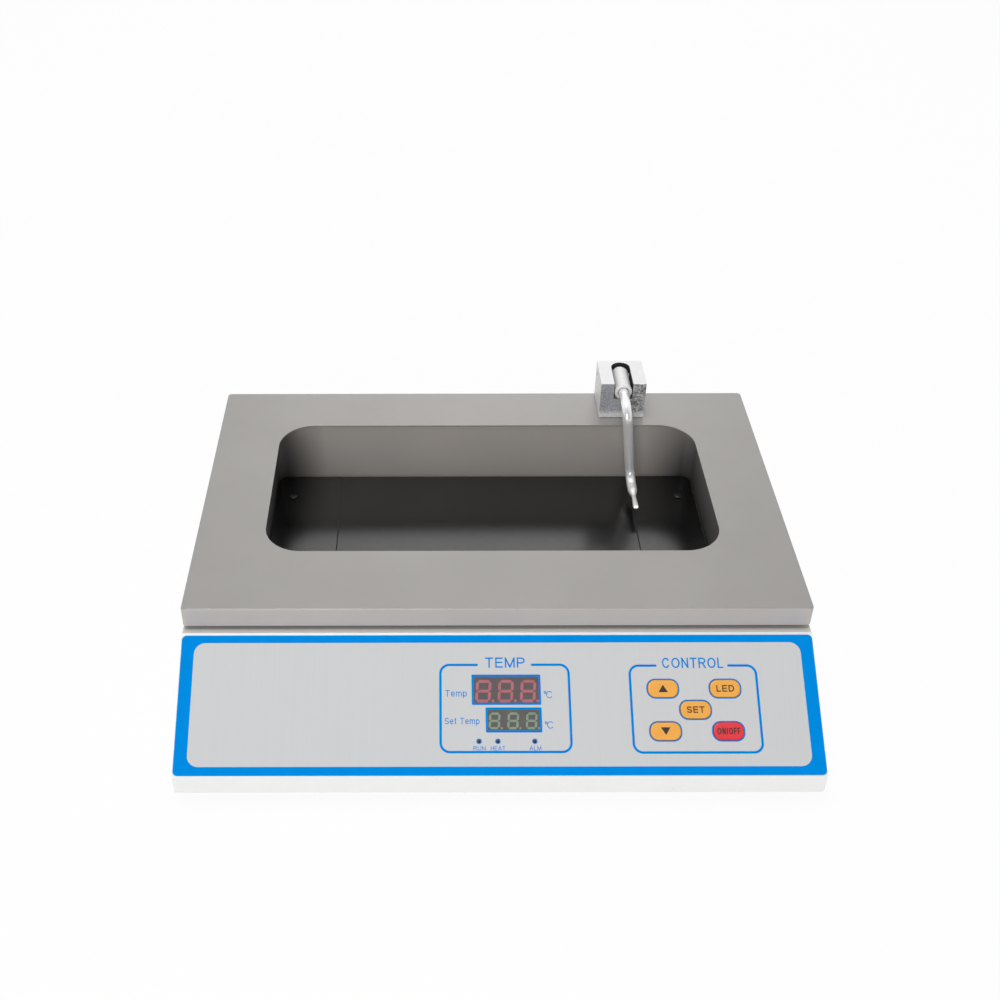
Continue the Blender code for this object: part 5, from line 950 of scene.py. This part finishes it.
def dress_case():
    """Folded case with its hollow, flange, panel holes, vents and inlet cut-out."""
    edge = CASE.fold * SIDE_EDGE_SHARE
    ends = [(HALF_X - out, inset) for inset, out in quarter_round(edge, 0, 0, edge)]
    loops = [case_loop(-x, inset) for x, inset in ends] + [case_loop(x, inset) for x, inset in ends[::-1]]
    case = add_piece("case_sheet", skin(loops), "case", shows=["housing_shell"])
    half_x, below, flange = HALF_X - SHEET, BASE_Z - OVERRUN, CASE.base_flange
    front, back = FRONT_Y + SHEET, CASE_BACK_Y - SHEET
    window = rounded(half_x - flange, (back - front) / 2 - flange, CASE.base_gusset,
                     (0, (front + back) / 2), CUT_STEPS)
    tank_way = [(x, y) for x, y, _ in ring_of(TANK_FORM, 0, TANK.sheet + TANK.clearance)]
    carve(
        case, case_hollow(), tool(box_mesh((-half_x, front, below), (half_x, back, BASE_FLANGE_Z))),
        tool(prism([window], below, BASE_FLANGE_Z + SHEET + OVERRUN)),
        tool(prism([tank_way], CASE_Z - 2 * OVERRUN, CASE_Z + OVERRUN)),
        panel_holes(), round_holes(), rear_holes())


def round_holes():
    """Cutter for the studs and the foot screws."""
    holes = bmesh.new()
    for _, x, y in STUDS:
        drill(holes, STUD.radius + GAP, x, y, CASE_Z - 2 * OVERRUN, CASE_Z + OVERRUN)
    for _, x, y in FEET:
        drill(holes, FIXING.radius + GAP, x, y, BASE_Z, BASE_FLANGE_Z + OVERRUN)
    return tool(holes)


def panel_holes():
    """Cutter for the keys, windows and lamps in the panel."""
    low, high = -SHEET - OVERRUN, OVERRUN
    holes = bmesh.new()
    for name in KEYS:
        prism([key_hole(name)], low, high, holes)
    for x, down, width, height in WINDOWS.values():
        slab_mesh(width / 2 - WINDOW_FIT, height / 2 - WINDOW_FIT, low, high, (x, -down), holes)
    for x in LAMPS.values():
        drill(holes, LAMP.radius + LAMP.fit, x, -LAMP.down, low, high)
    return tool(holes, PANEL)


def rear_holes():
    """Cutter for the inlet and the vents in the rear wall."""
    low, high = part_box("mains_inlet")
    front, back = CASE_BACK_Y - SHEET - OVERRUN, CASE_BACK_Y + OVERRUN
    hidden = INLET.hidden
    holes = box_mesh((low.x + hidden - GAP, front, low.z + hidden - GAP),
                     (high.x - hidden + GAP, back, high.z - hidden + GAP))
    for k in range(VENT_COUNT):
        x = HALF_X - VENT.side + VENT.pitch * (k - (VENT_COUNT - 1) / 2)
        box_mesh((x - VENT.width / 2, front, CASE_MID_Z - VENT.length / 2),
                 (x + VENT.width / 2, back, CASE_MID_Z + VENT.length / 2), holes)
    return tool(holes)


def key_hole(name, grow=0.0):
    x, down = KEYS[name]
    return capsule(KEY.clearance + grow, (x, -down))


def lamp_hole(x, grow=0.0):
    return circle(LAMP.radius + LAMP.fit + grow, (x, -LAMP.down))


def film_holes():
    """Outlines of the holes that keys, windows and lamps need in the film."""
    windows = [
        rounded(width / 2, height / 2, WINDOW_FIT, (x, -down), PANE_STEPS)
        for x, down, width, height in WINDOWS.values()]
    return [key_hole(name) for name in KEYS] + windows + [lamp_hole(x) for x in LAMPS.values()]


def dress_film():
    """Panel film with its blue border and the silver-grey field."""
    half_x = HALF_X - FILM.side
    height = PANEL_LENGTH - FILM.top - FILM.bottom
    outer = rounded(half_x, height / 2, FILM.corner, (0, -FILM.top - height / 2))
    film = prism([outer] + film_holes(), FILM.gap, FILM_TOP)
    add_piece("film_sheet", film, "blue", place=PANEL, shows=["panel_film"])
    height -= FIELD.top + FIELD.bottom
    middle = (0, -FILM.top - FIELD.top - height / 2)
    field = rounded(half_x - FIELD.side, height / 2, FIELD.corner, middle)
    add_piece("film_field", prism([field] + film_holes(), FILM_TOP, FIELD_TOP), "field", place=PANEL)


def print_box(name, left, right, top, bottom, gap_left, gap_right):
    """A printed frame with a gap in its upper line for the heading."""
    radius = BOX_RADIUS
    corners = [
        (right - radius, -top - radius, 90), (right - radius, radius - bottom, 0),
        (left + radius, radius - bottom, -90), (left + radius, -top - radius, -180)]
    path = [(gap_right, -top)]
    for x, y, start in corners:
        for step in range(ARC_STEPS + 1):
            angle = radians(start - 90 * step / ARC_STEPS)
            path.append((x + radius * cos(angle), y + radius * sin(angle)))
    path.append((gap_left, -top))
    add_piece(name, ribbon(path, BOX_LINE, FIELD_TOP, PRINT_TOP, "round"), "line", place=PANEL)


def stroke_points(parts):
    """The points of a letter's stroke, its arcs turned into short steps."""
    points = []
    for part in parts:
        if len(part) == 2:
            points.append(part)
            continue
        x, y, reach_x, reach_y, start, end = part
        steps = max(round(abs(end - start) / ARC_TURN), 2)
        for step in range(steps + 1):
            angle = radians(start + (end - start) * step / steps)
            points.append((x + reach_x * cos(angle), y + reach_y * sin(angle)))
    return [point for k, point in enumerate(points) if not k or dist(point, points[k - 1]) > POINT_REACH]


def slanted_bar(start, end, width, low, high, bm):
    """A straight bar whose two ends are cut level, half a width on."""
    (x0, y0), (x1, y1) = sorted((start, end), key=lambda point: point[1])
    half = width / 2
    lean = (x1 - x0) / (y1 - y0)
    level = half * hypot(1, lean)
    inward = copysign(level - half, lean)
    x0, y0 = x0 - half * lean + inward, y0 - half
    x1, y1 = x1 + half * lean - inward, y1 + half
    corners = [(x0 - level, y0), (x0 + level, y0), (x1 + level, y1), (x1 - level, y1)]
    return prism([corners], low, high, bm)


def add_word(name, text, left, right, top, bottom, stroke, look, face, body="bath", place=PANEL):
    """A word between two X places, its capitals standing between bottom and top."""
    gaps = [DEGREE_GAP_SHARE if letter == "°" else LETTER_GAP_SHARE for letter in text[:-1]]
    unit = (right - left) / (sum(LETTER_SHARES[letter][0] for letter in text) + sum(gaps))
    bm = bmesh.new()
    count = 0
    for letter, gap in zip(text, gaps + [0]):
        share, strokes, bars = LETTER_SHARES[letter]

        def placed(point):
            return (left + stroke / 2 + point[0] * (share * unit - stroke),
                    bottom + stroke / 2 + point[1] * (top - bottom - stroke))

        for parts in strokes:
            points = [placed(point) for point in stroke_points(parts)]
            ribbon(points, stroke, face, face + INK - count * INK_STEP, bm=bm)
            count += 1
        for start, end in bars:
            slanted_bar(placed(start), placed(end), stroke, face, face + INK - count * INK_STEP, bm)
            count += 1
        left += (share + gap) * unit
    return add_piece(name, bm, look, body, place)


def print_ring(name, outer, inner):
    add_piece(name, prism([outer, inner], FIELD_TOP, PRINT_TOP), "line", place=PANEL)


def dress_print():
    """Printed frames and words, and a ring round each key and lamp."""
    for name, box in PRINT_BOXES.items():
        print_box(name, *box)
    for name, (text, *row) in WORDS.items():
        left, right, top, bottom, stroke = (size * MM for size in row)
        add_word(name, text, left, right, -top, -bottom, stroke, "line", FIELD_TOP)
    for name in KEYS:
        print_ring(f"key_ring_{name}", key_hole(name, KEY.ring), key_hole(name))
    for name, x in LAMPS.items():
        print_ring(f"lamp_ring_{name}", lamp_hole(x, LAMP.ring), lamp_hole(x))


def digit_bars(width, height, stroke):
    """The seven bars of a digit, as outlines about its middle."""
    cut, slack = stroke / 2, stroke * BAR_SLACK_SHARE
    half_x, half_y = width / 2 - cut, height / 2 - cut

    def bar(low, high):
        low, high = low + slack, high - slack
        return [
            (low, 0), (low + cut, -cut), (high - cut, -cut), (high, 0), (high - cut, cut), (low + cut, cut)]

    bars = [[(along, y + off) for along, off in bar(-half_x, half_x)] for y in (half_y, 0, -half_y)]
    for x in (-half_x, half_x):
        for low, high in ((0, half_y), (-half_y, 0)):
            bars.append([(x - off, along) for along, off in bar(low, high)])
    return bars


def dress_displays():
    """Tinted panes with unlit digits, and a blue frame round each."""
    for name, look in {"temp": "red", "set": "green"}.items():
        x, down, width, height = WINDOWS[name]
        half_x, half_y, fit, inset = width / 2, height / 2, WINDOW_FIT, WINDOW_FRAME
        pane = rounded(half_x - fit, half_y - fit, fit, (x, -down), PANE_STEPS)
        add_piece(f"{name}_pane", prism([pane], FILM.gap, FILM_TOP), f"{look}_pane", place=PANEL,
                  shows=[f"{name}_window"])
        print_ring(f"{name}_rim", rounded(half_x + fit, half_y + fit, 3 * fit, (x, -down), TINY_STEPS),
                   rounded(half_x - inset, half_y - inset, 2 * fit, (x, -down), TINY_STEPS))
        add_piece(f"{name}_digits", digits_mesh(*DIGITS[name]), f"{look}_digit", place=PANEL)


def digits_mesh(mid_x, mid_down, pitch, width, height, stroke):
    """A row of digits with every bar shown, each with its point."""
    bars = bmesh.new()
    for k in range(DIGIT_COUNT):
        middle = mid_x + pitch * (k - (DIGIT_COUNT - 1) / 2)
        for bar in digit_bars(width, height, stroke):
            slanted = [(middle + px + py * tan(DIGIT_SLANT), py - mid_down) for px, py in bar]
            prism([slanted], FILM_TOP, FILM_TOP + INK, bars)
        foot = (middle + width / 2 + stroke * POINT_SHARE, stroke / 2 - mid_down - height / 2)
        prism([circle(stroke / 2, foot, SMALL_SIDES // 2)], FILM_TOP, FILM_TOP + INK, bars)
    return bars


def dress_keys():
    """Soft-edged key caps with their marks."""
    profile = [(KEY.flange, KEY_TOP - KEY.depth), (KEY.flange, PANEL_UNDER), (0, PANEL_UNDER)]
    profile += quarter_round(0, -KEY.crown, KEY_TOP - KEY.crown * KEY_CROWN_SHARE, KEY_TOP)
    for name, (x, down) in KEYS.items():
        place = PANEL @ moved(x, -down)
        loops = [at_height(capsule(reach), z) for reach, z in profile]
        look = "red" if name == "power" else "orange"
        add_piece(f"cap_{name}", skin(loops), look, f"{name}_key", place, [f"key_{name}"])
        if name in KEY_WORDS:
            text, *row = KEY_WORDS[name]
            width, height, stroke = (size * MM for size in row)
            add_word(f"mark_{name}", text, -width / 2, width / 2, height / 2, -height / 2, stroke, "key_ink",
                     KEY_TOP, f"{name}_key", place)
        else:
            tip = KEY.arrow_rise / 2 if name == "up" else -KEY.arrow_rise / 2
            corners = [(0, tip), (-KEY.arrow_half, -tip), (KEY.arrow_half, -tip)]
            arrow = prism([corners], KEY_TOP, KEY_TOP + INK)
            add_piece(f"mark_{name}", arrow, "key_ink", f"{name}_key", place)


def dress_lamps():
    """Indicator lamps, each with a small lens that shows through the film."""
    low, wide, base, radius = FILM.gap - GAP - LAMP.depth, LAMP.flange_radius, LAMP.base, LAMP.radius
    profile = [(wide, low), (wide, low + LAMP.flange), (base, low + LAMP.flange), (base, PANEL_UNDER),
               (radius, PANEL_UNDER)]
    profile += quarter_round(radius, radius * LENS_FLAT_SHARE, FILM_TOP, FILM_TOP + LAMP.proud)
    for name, x in LAMPS.items():
        add_piece(f"lens_{name}", turned(profile, sides=SMALL_SIDES), "lens",
                  place=PANEL @ moved(x, -LAMP.down), shows=[f"{name}_lamp"])


def pivot_hole(half):
    """Mesh of the cross hole for the pivot pin, through a half width."""
    cross = Vector((half + OVERRUN, 0, 0))
    return rod_mesh(PIVOT_HOLE, PIVOT - cross, PIVOT + cross)


def dress_block():
    """Milled block with softened edges, slot, pivot holes and screw holes."""
    half, top, front = BLOCK.width / 2, BLOCK_Z + BLOCK.height, BLOCK_Y - OVERRUN
    body = box_mesh((BLOCK_X - half, BLOCK_Y, BLOCK_Z), (BLOCK_X + half, BLOCK_BACK_Y, top))
    block = add_piece("block_body", body, "block", shows=["holder_block"])
    radius = BLOCK.slot / 2
    arc = [pi * k / ARC_STEPS for k in range(ARC_STEPS + 1)]
    slot = [(BLOCK_X + radius * cos(angle), PIVOT_Y + radius * sin(angle)) for angle in arc]
    slot += [(BLOCK_X - radius, front), (BLOCK_X + radius, front)]
    carve(block, tool(prism([slot], SLOT_Z, top + OVERRUN)))
    soften(block, BLOCK.edge, BLOCK_EDGE_STEPS, BLOCK_EDGE_TURN)
    holes = pivot_hole(half)
    drill_for_block(holes, UNDER_Z, BLOCK_Z + BLOCK.screw_length, SLOT_Z + OVERRUN)
    carve(block, tool(holes))


def dress_sleeve():
    """White sleeve: domed rear, slim body, a rounded bead and a bore at its mouth."""
    radius, neck, lip, reach = SLEEVE.radius, SLEEVE.neck, SLEEVE.lip, SLEEVE_REACH
    body, bore, bead = radius - neck, ROD.radius + GAP, reach - SLEEVE.bead
    dome = [pi / 2 * (1 - (k + 0.5) / ARC_STEPS) for k in range(ARC_STEPS)]
    profile = [(radius * cos(angle), -radius * sin(angle)) for angle in dome]
    profile += [(radius, 0), (body, neck * 2), (body, bead - neck)]
    profile += quarter_round(radius, body, bead, bead - neck)[::-1]
    profile += quarter_round(radius, radius - lip, reach - lip, reach)
    profile += [(bore + lip / 2, reach), (bore, reach - lip / 2), (bore, reach - SLEEVE.bore)]
    place = Matrix.Translation(PIVOT) @ Matrix.Rotation(pi / 2, 4, "X")
    tube = turned(profile, place)
    sleeve = add_piece("sleeve_tube", tube, "sleeve", "probe", shows=["probe_sleeve"])
    carve(sleeve, tool(pivot_hole(radius)))


def rod_path():
    """Middle line of the rod as (forward, up) from the pivot."""
    radius, upright = ROD.bend, PIVOT_Y - BLOCK_Y + ROD.reach
    turns = [pi / 2 * k / ROD_BEND_STEPS for k in range(ROD_BEND_STEPS + 1)]
    path = [(SLEEVE_REACH - SLEEVE.bore + GAP, 0.0)]
    path += [(upright - radius + radius * sin(turn), radius * (cos(turn) - 1)) for turn in turns]
    path += [
        (upright + radius * (1 - cos(turn)), radius - ROD.drop - radius * sin(turn)) for turn in turns]
    tip = upright + ROD.foot - TIP.length
    return path + [(tip + TIP.length * k / TIP_STEPS, -ROD.drop) for k in range(TIP_STEPS + 1)]


def eased(share):
    share = min(max(share, 0), 1)
    return share * share * (3 - 2 * share)


def tip_section(share):
    """Half width, half height and groove of the pressed tip, along its length."""
    drawn = ROD.radius + (TIP.neck - ROD.radius) * eased(share / TIP_NECK_SHARE)
    pressed = eased((share - TIP_NECK_SHARE) / (1 - TIP_NECK_SHARE))
    width = drawn + (TIP.half_width - TIP.neck) * pressed
    height = drawn + (TIP.half_height - TIP.neck) * pressed
    past = max((share - 1 + TIP_ROUND_SHARE) / TIP_ROUND_SHARE, 0)
    close = sqrt(max(1 - past ** 2, TIP_LEAST_SHARE))
    return width * (1 + close) / 2, height * close, TIP.groove * pressed * close


def dress_rod():
    """Bent polished tube, pressed flat into two lobes at its end."""
    side = Vector((cos(ROD_TWIST), 0, sin(ROD_TWIST)))
    up = Vector((-sin(ROD_TWIST), 0, cos(ROD_TWIST)))
    ahead = Vector((0, -1, 0))
    points = [ahead * forward + up * height for forward, height in rod_path()]
    tip_from = len(points) - TIP_STEPS - 1
    loops = []
    for k, point in enumerate(points):
        along = (points[min(k + 1, len(points) - 1)] - points[max(k - 1, 0)]).normalized()
        across = side.cross(along)
        width, height, groove = tip_section(max(k - tip_from, 0) / TIP_STEPS)
        loop = []
        for turn in (tau * n / ROD_SIDES for n in range(ROD_SIDES)):
            dent = groove * abs(sin(turn)) ** GROOVE_POWER
            loop.append(point + side * width * cos(turn) + across * (height - dent) * sin(turn))
        loops.append(loop)
    bm = skin(loops)
    bm.transform(Matrix.Translation(PIVOT))
    add_piece("rod_tube", bm, "rod", "probe", shows=["probe_rod"])


def dress_feet():
    """Ribbed rubber feet."""
    top, hole, rib, base = BASE_Z - GAP, FIXING.radius + GAP, FOOT.rib, FOOT.radius - FOOT.taper
    profile = [(base - rib, 0), (base, rib)]
    for k in range(FOOT_RIB_COUNT):
        height = top * (k + 1) / (FOOT_RIB_COUNT + 1)
        radius = FOOT.radius - FOOT.taper * (1 - height / top)
        profile += [(radius, height - rib), (radius - rib, height), (radius, height + rib)]
    profile += [(FOOT.radius, top - rib), (FOOT.radius - rib, top), (hole, top), (hole, FOOT.well),
                (FOOT.well_radius, FOOT.well), (FOOT.well_radius, 0)]
    for name, x, y in FEET:
        foot = turned(profile, moved(x, y), closed=True)
        add_piece(f"foot_pad_{name}", foot, "rubber", shows=[f"foot_{name}"])


def dress_foot_screws():
    """Threaded foot screws with a cross recess in each head."""
    radius, root, pitch, wide = FIXING.radius, FIXING.radius - FIXING.thread, FIXING.pitch, FIXING.head_radius
    head = FOOT.well - GAP - FIXING.head
    under, top = head + FIXING.head, BASE_FLANGE_Z + SHEET + FIXING.above
    profile = quarter_round(wide, wide / 2, under - FIXING.head / 2, head)[::-1]
    profile += [(wide, under), (radius, under)]
    height = under + pitch
    while height < top - pitch:
        profile += [(radius, height), (root, height + pitch / 2)]
        height += pitch
    profile += [(radius, height), (root, top)]
    for name, x, y in FEET:
        screw = turned(profile, moved(x, y), SMALL_SIDES)
        piece = add_piece(f"foot_fixing_{name}", screw, "zinc", shows=[f"foot_screw_{name}"])
        carve(piece, cross_recess(x, y, head, wide))


def rear_place():
    """Frame on the rear wall at the middle of the inlet: x to the left as seen, y up, z out."""
    turn = Matrix(((-1, 0, 0, 0), (0, 0, 1, 0), (0, 1, 0, 0), (0, 0, 0, 1)))
    return Matrix.Translation((INLET.side - HALF_X, CASE_BACK_Y, CASE_MID_Z)) @ turn


def dress_inlet():
    """Moulded mains inlet with a soft face edge and its recesses."""
    place = rear_place()
    edge = [(0, GAP)] + quarter_round(0, -INLET.edge, INLET_TOP - INLET.edge, INLET_TOP)
    loops = [ring_of(INLET_BODY_FORM, z) for z in (GAP - INLET.body_depth, GAP)]
    loops += [ring_of(INLET_FACE_FORM, z, reach) for reach, z in edge]
    inlet = add_piece("inlet_moulding", skin(loops), "moulded", place=place, shows=["mains_inlet"])
    half_x, low, high = SOCKET.width / 2, SOCKET.up - SOCKET.height / 2, SOCKET.up + SOCKET.height / 2
    cut = SOCKET.chamfer
    socket = [(half_x, high), (-half_x, high), (-half_x, low + cut), (cut - half_x, low), (half_x - cut, low),
              (half_x, low + cut)]
    recesses = prism([socket], INLET_TOP - SOCKET.depth, INLET_TOP + OVERRUN)
    slab_mesh(DRAWER.width / 2 + GAP, DRAWER.height / 2 + GAP, INLET_TOP - DRAWER.depth - GAP,
              INLET_TOP + OVERRUN, (0, -DRAWER.down), recesses)
    carve(inlet, tool(recesses, place))


def dress_pins():
    """The three contacts in the inlet's socket."""
    floor = INLET_TOP - SOCKET.depth
    profile = [(0, floor - SHEET), (0, floor + PIN.length - PIN.edge), (-PIN.edge, floor + PIN.length)]
    for number, (x, drop) in enumerate(((-PIN.pitch, 0), (PIN.pitch, 0), (0, PIN.earth_drop)), 1):
        middle = (x, SOCKET.up + PIN.earth_drop / 2 - drop)
        form = (PIN.width / 2, PIN.height / 2, 2 * PIN.edge, middle, TINY_STEPS)
        loops = [ring_of(form, z, reach) for reach, z in profile]
        add_piece(f"inlet_pin_{number}", skin(loops), "pin", place=rear_place())


def dress_drawer():
    """Fuse drawer with soft edges, a finger grip and its tray."""
    half_x, half_y, low = DRAWER.width / 2, DRAWER.height / 2, INLET_TOP - DRAWER.depth
    place = rear_place() @ moved(0, -DRAWER.down)
    body = slab_mesh(half_x, half_y, low, INLET_TOP)
    drawer = add_piece("drawer_moulding", body, "moulded", "fuse_carrier", place, ["fuse_drawer"])
    tools = box_mesh((-half_x / 2, half_y / 2 - DRAWER.grip, INLET_TOP - DRAWER.face),
                     (half_x / 2, half_y + OVERRUN, INLET_TOP + OVERRUN))
    box_mesh((SHEET - half_x, SHEET - half_y, SHEET + low),
             (half_x - SHEET, half_y + OVERRUN, INLET_TOP - 2 * DRAWER.face), tools)
    carve(drawer, tool(tools, place))
    soften(drawer, DRAWER.edge)


CAD_LOOKS = {
    "rubber": ("plate_gasket",),
    "silicone": ("heater_mat", "heater_lead"),
    "foam": ("insulation_pad",),
    "moulded": ("thermal_cutout", "temp_display", "set_display"),
    "lamp_board": ("light_board",),
    "zinc": ("plate_rail", "base_plate", "board_post", "pivot_pin", "block_screw"),
    "circuit": ("control_board", "power_board"),
    "sink": ("heat_sink",),
    "lead": ("mains_lead", "cutout_lead", "signal_lead", "probe_lead"),
}


def dress_solids():
    """Finishes for the solids that keep their own shape."""
    for name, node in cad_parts.items():
        for look, starts in CAD_LOOKS.items():
            if name.startswith(starts):
                node.data.materials.clear()
                node.data.materials.append(LOOKS[look])


def add_camera():
    to_view = (
        Matrix.Rotation(CAMERA_ROLL, 3, "Z") @ Matrix.Rotation(CAMERA_PITCH + pi / 2, 3, "X")
        @ Matrix.Rotation(CAMERA_YAW, 3, "Z"))
    right, down, ahead = to_view
    turn = Matrix((right, -down, -ahead)).transposed()
    data = bpy.data.cameras.new("camera")
    data.sensor_width = SENSOR_WIDTH
    data.lens = LENS_LENGTH
    data.shift_x, data.shift_y = LENS_SHIFT
    camera = add_object("camera", data, Matrix.Translation(CAMERA_PLACE) @ turn.to_4x4())
    bpy.context.scene.camera = camera


def add_light(name, place, size, energy):
    """A round light that faces the object."""
    data = bpy.data.lights.new(name, "AREA")
    data.shape = "DISK"
    data.size = size
    data.energy = energy
    turn = (-Vector(place)).to_track_quat("-Z", "Y").to_matrix().to_4x4()
    add_object(name, data, Matrix.Translation(place) @ turn)


def seen_directly(tree):
    """1 for camera, glossy and transmission rays."""
    rays = add_node(tree, "LightPath").outputs
    seen = add_math(tree, "MAXIMUM", rays["Is Camera Ray"], rays["Is Glossy Ray"])
    return add_math(tree, "MAXIMUM", seen, rays["Is Transmission Ray"])


def add_world():
    """Even light, and for shiny surfaces a studio that is darker behind the camera."""
    world = bpy.data.worlds.new("studio")
    world.use_nodes = True
    tree = world.node_tree
    lit = wire(tree.nodes["Background"], Color=WHITE, Strength=WORLD_LIGHT)
    axes = add_node(tree, "SeparateXYZ", add_node(tree, "TexCoord").outputs["Generated"])
    depth = add_node(
        tree, "MapRange", Value=axes.outputs["Y"], From_Min=WORLD_FADE[0], From_Max=WORLD_FADE[1],
        To_Min=WORLD_FRONT, To_Max=1)
    camera_ray = add_node(tree, "LightPath").outputs["Is Camera Ray"]
    ahead = add_math(tree, "MAXIMUM", depth.outputs["Result"], camera_ray)
    shown = add_node(tree, "Background", Color=WHITE, Strength=ahead)
    mix = add_node(tree, "MixShader", seen_directly(tree), lit.outputs[0], shown.outputs[0])
    wire(tree.nodes["World Output"], mix.outputs[0])
    bpy.context.scene.world = world


def add_floor():
    """White floor that keeps the object's shadow."""
    bm = bmesh.new()
    bmesh.ops.create_grid(bm, x_segments=1, y_segments=1, size=FLOOR_SPAN / 2)
    mesh = mesh_of("floor", bm)
    floor = add_object("floor", mesh)
    material = bpy.data.materials.new("floor")
    material.use_nodes = True
    tree = material.node_tree
    tree.nodes.remove(tree.nodes["Principled BSDF"])
    diffuse = add_node(tree, "BsdfDiffuse", Color=FLOOR_GREY)
    glow = add_node(tree, "Emission", Color=WHITE, Strength=1)
    share = add_math(tree, "MULTIPLY", seen_directly(tree), FLOOR_GLOW)
    both = add_node(tree, "MixShader", share, diffuse.outputs[0], glow.outputs[0])
    wire(tree.nodes["Material Output"], both.outputs[0])
    mesh.materials.append(material)


def set_studio():
    bpy.context.scene.view_settings.view_transform = "Standard"
    add_world()
    add_floor()
    for name, light in LIGHTS.items():
        add_light(name, *light)


def even_shading():
    """Let the wide faces set the shading, so that soft edges don't bend it."""
    for piece in dressed:
        modifier = piece.modifiers.new("even_shading", "WEIGHTED_NORMAL")
        modifier.weight = FACE_WEIGHT
        modifier.keep_sharp = True


def main():
    add_camera()
    set_studio()
    for dress in (
            dress_plate, dress_studs, dress_tank, dress_floor, dress_window_screws, dress_case, dress_film,
            dress_print, dress_displays, dress_keys, dress_lamps, dress_block, dress_sleeve, dress_rod,
            dress_feet, dress_foot_screws, dress_inlet, dress_pins, dress_drawer, dress_solids, even_shading):
        dress()


main()
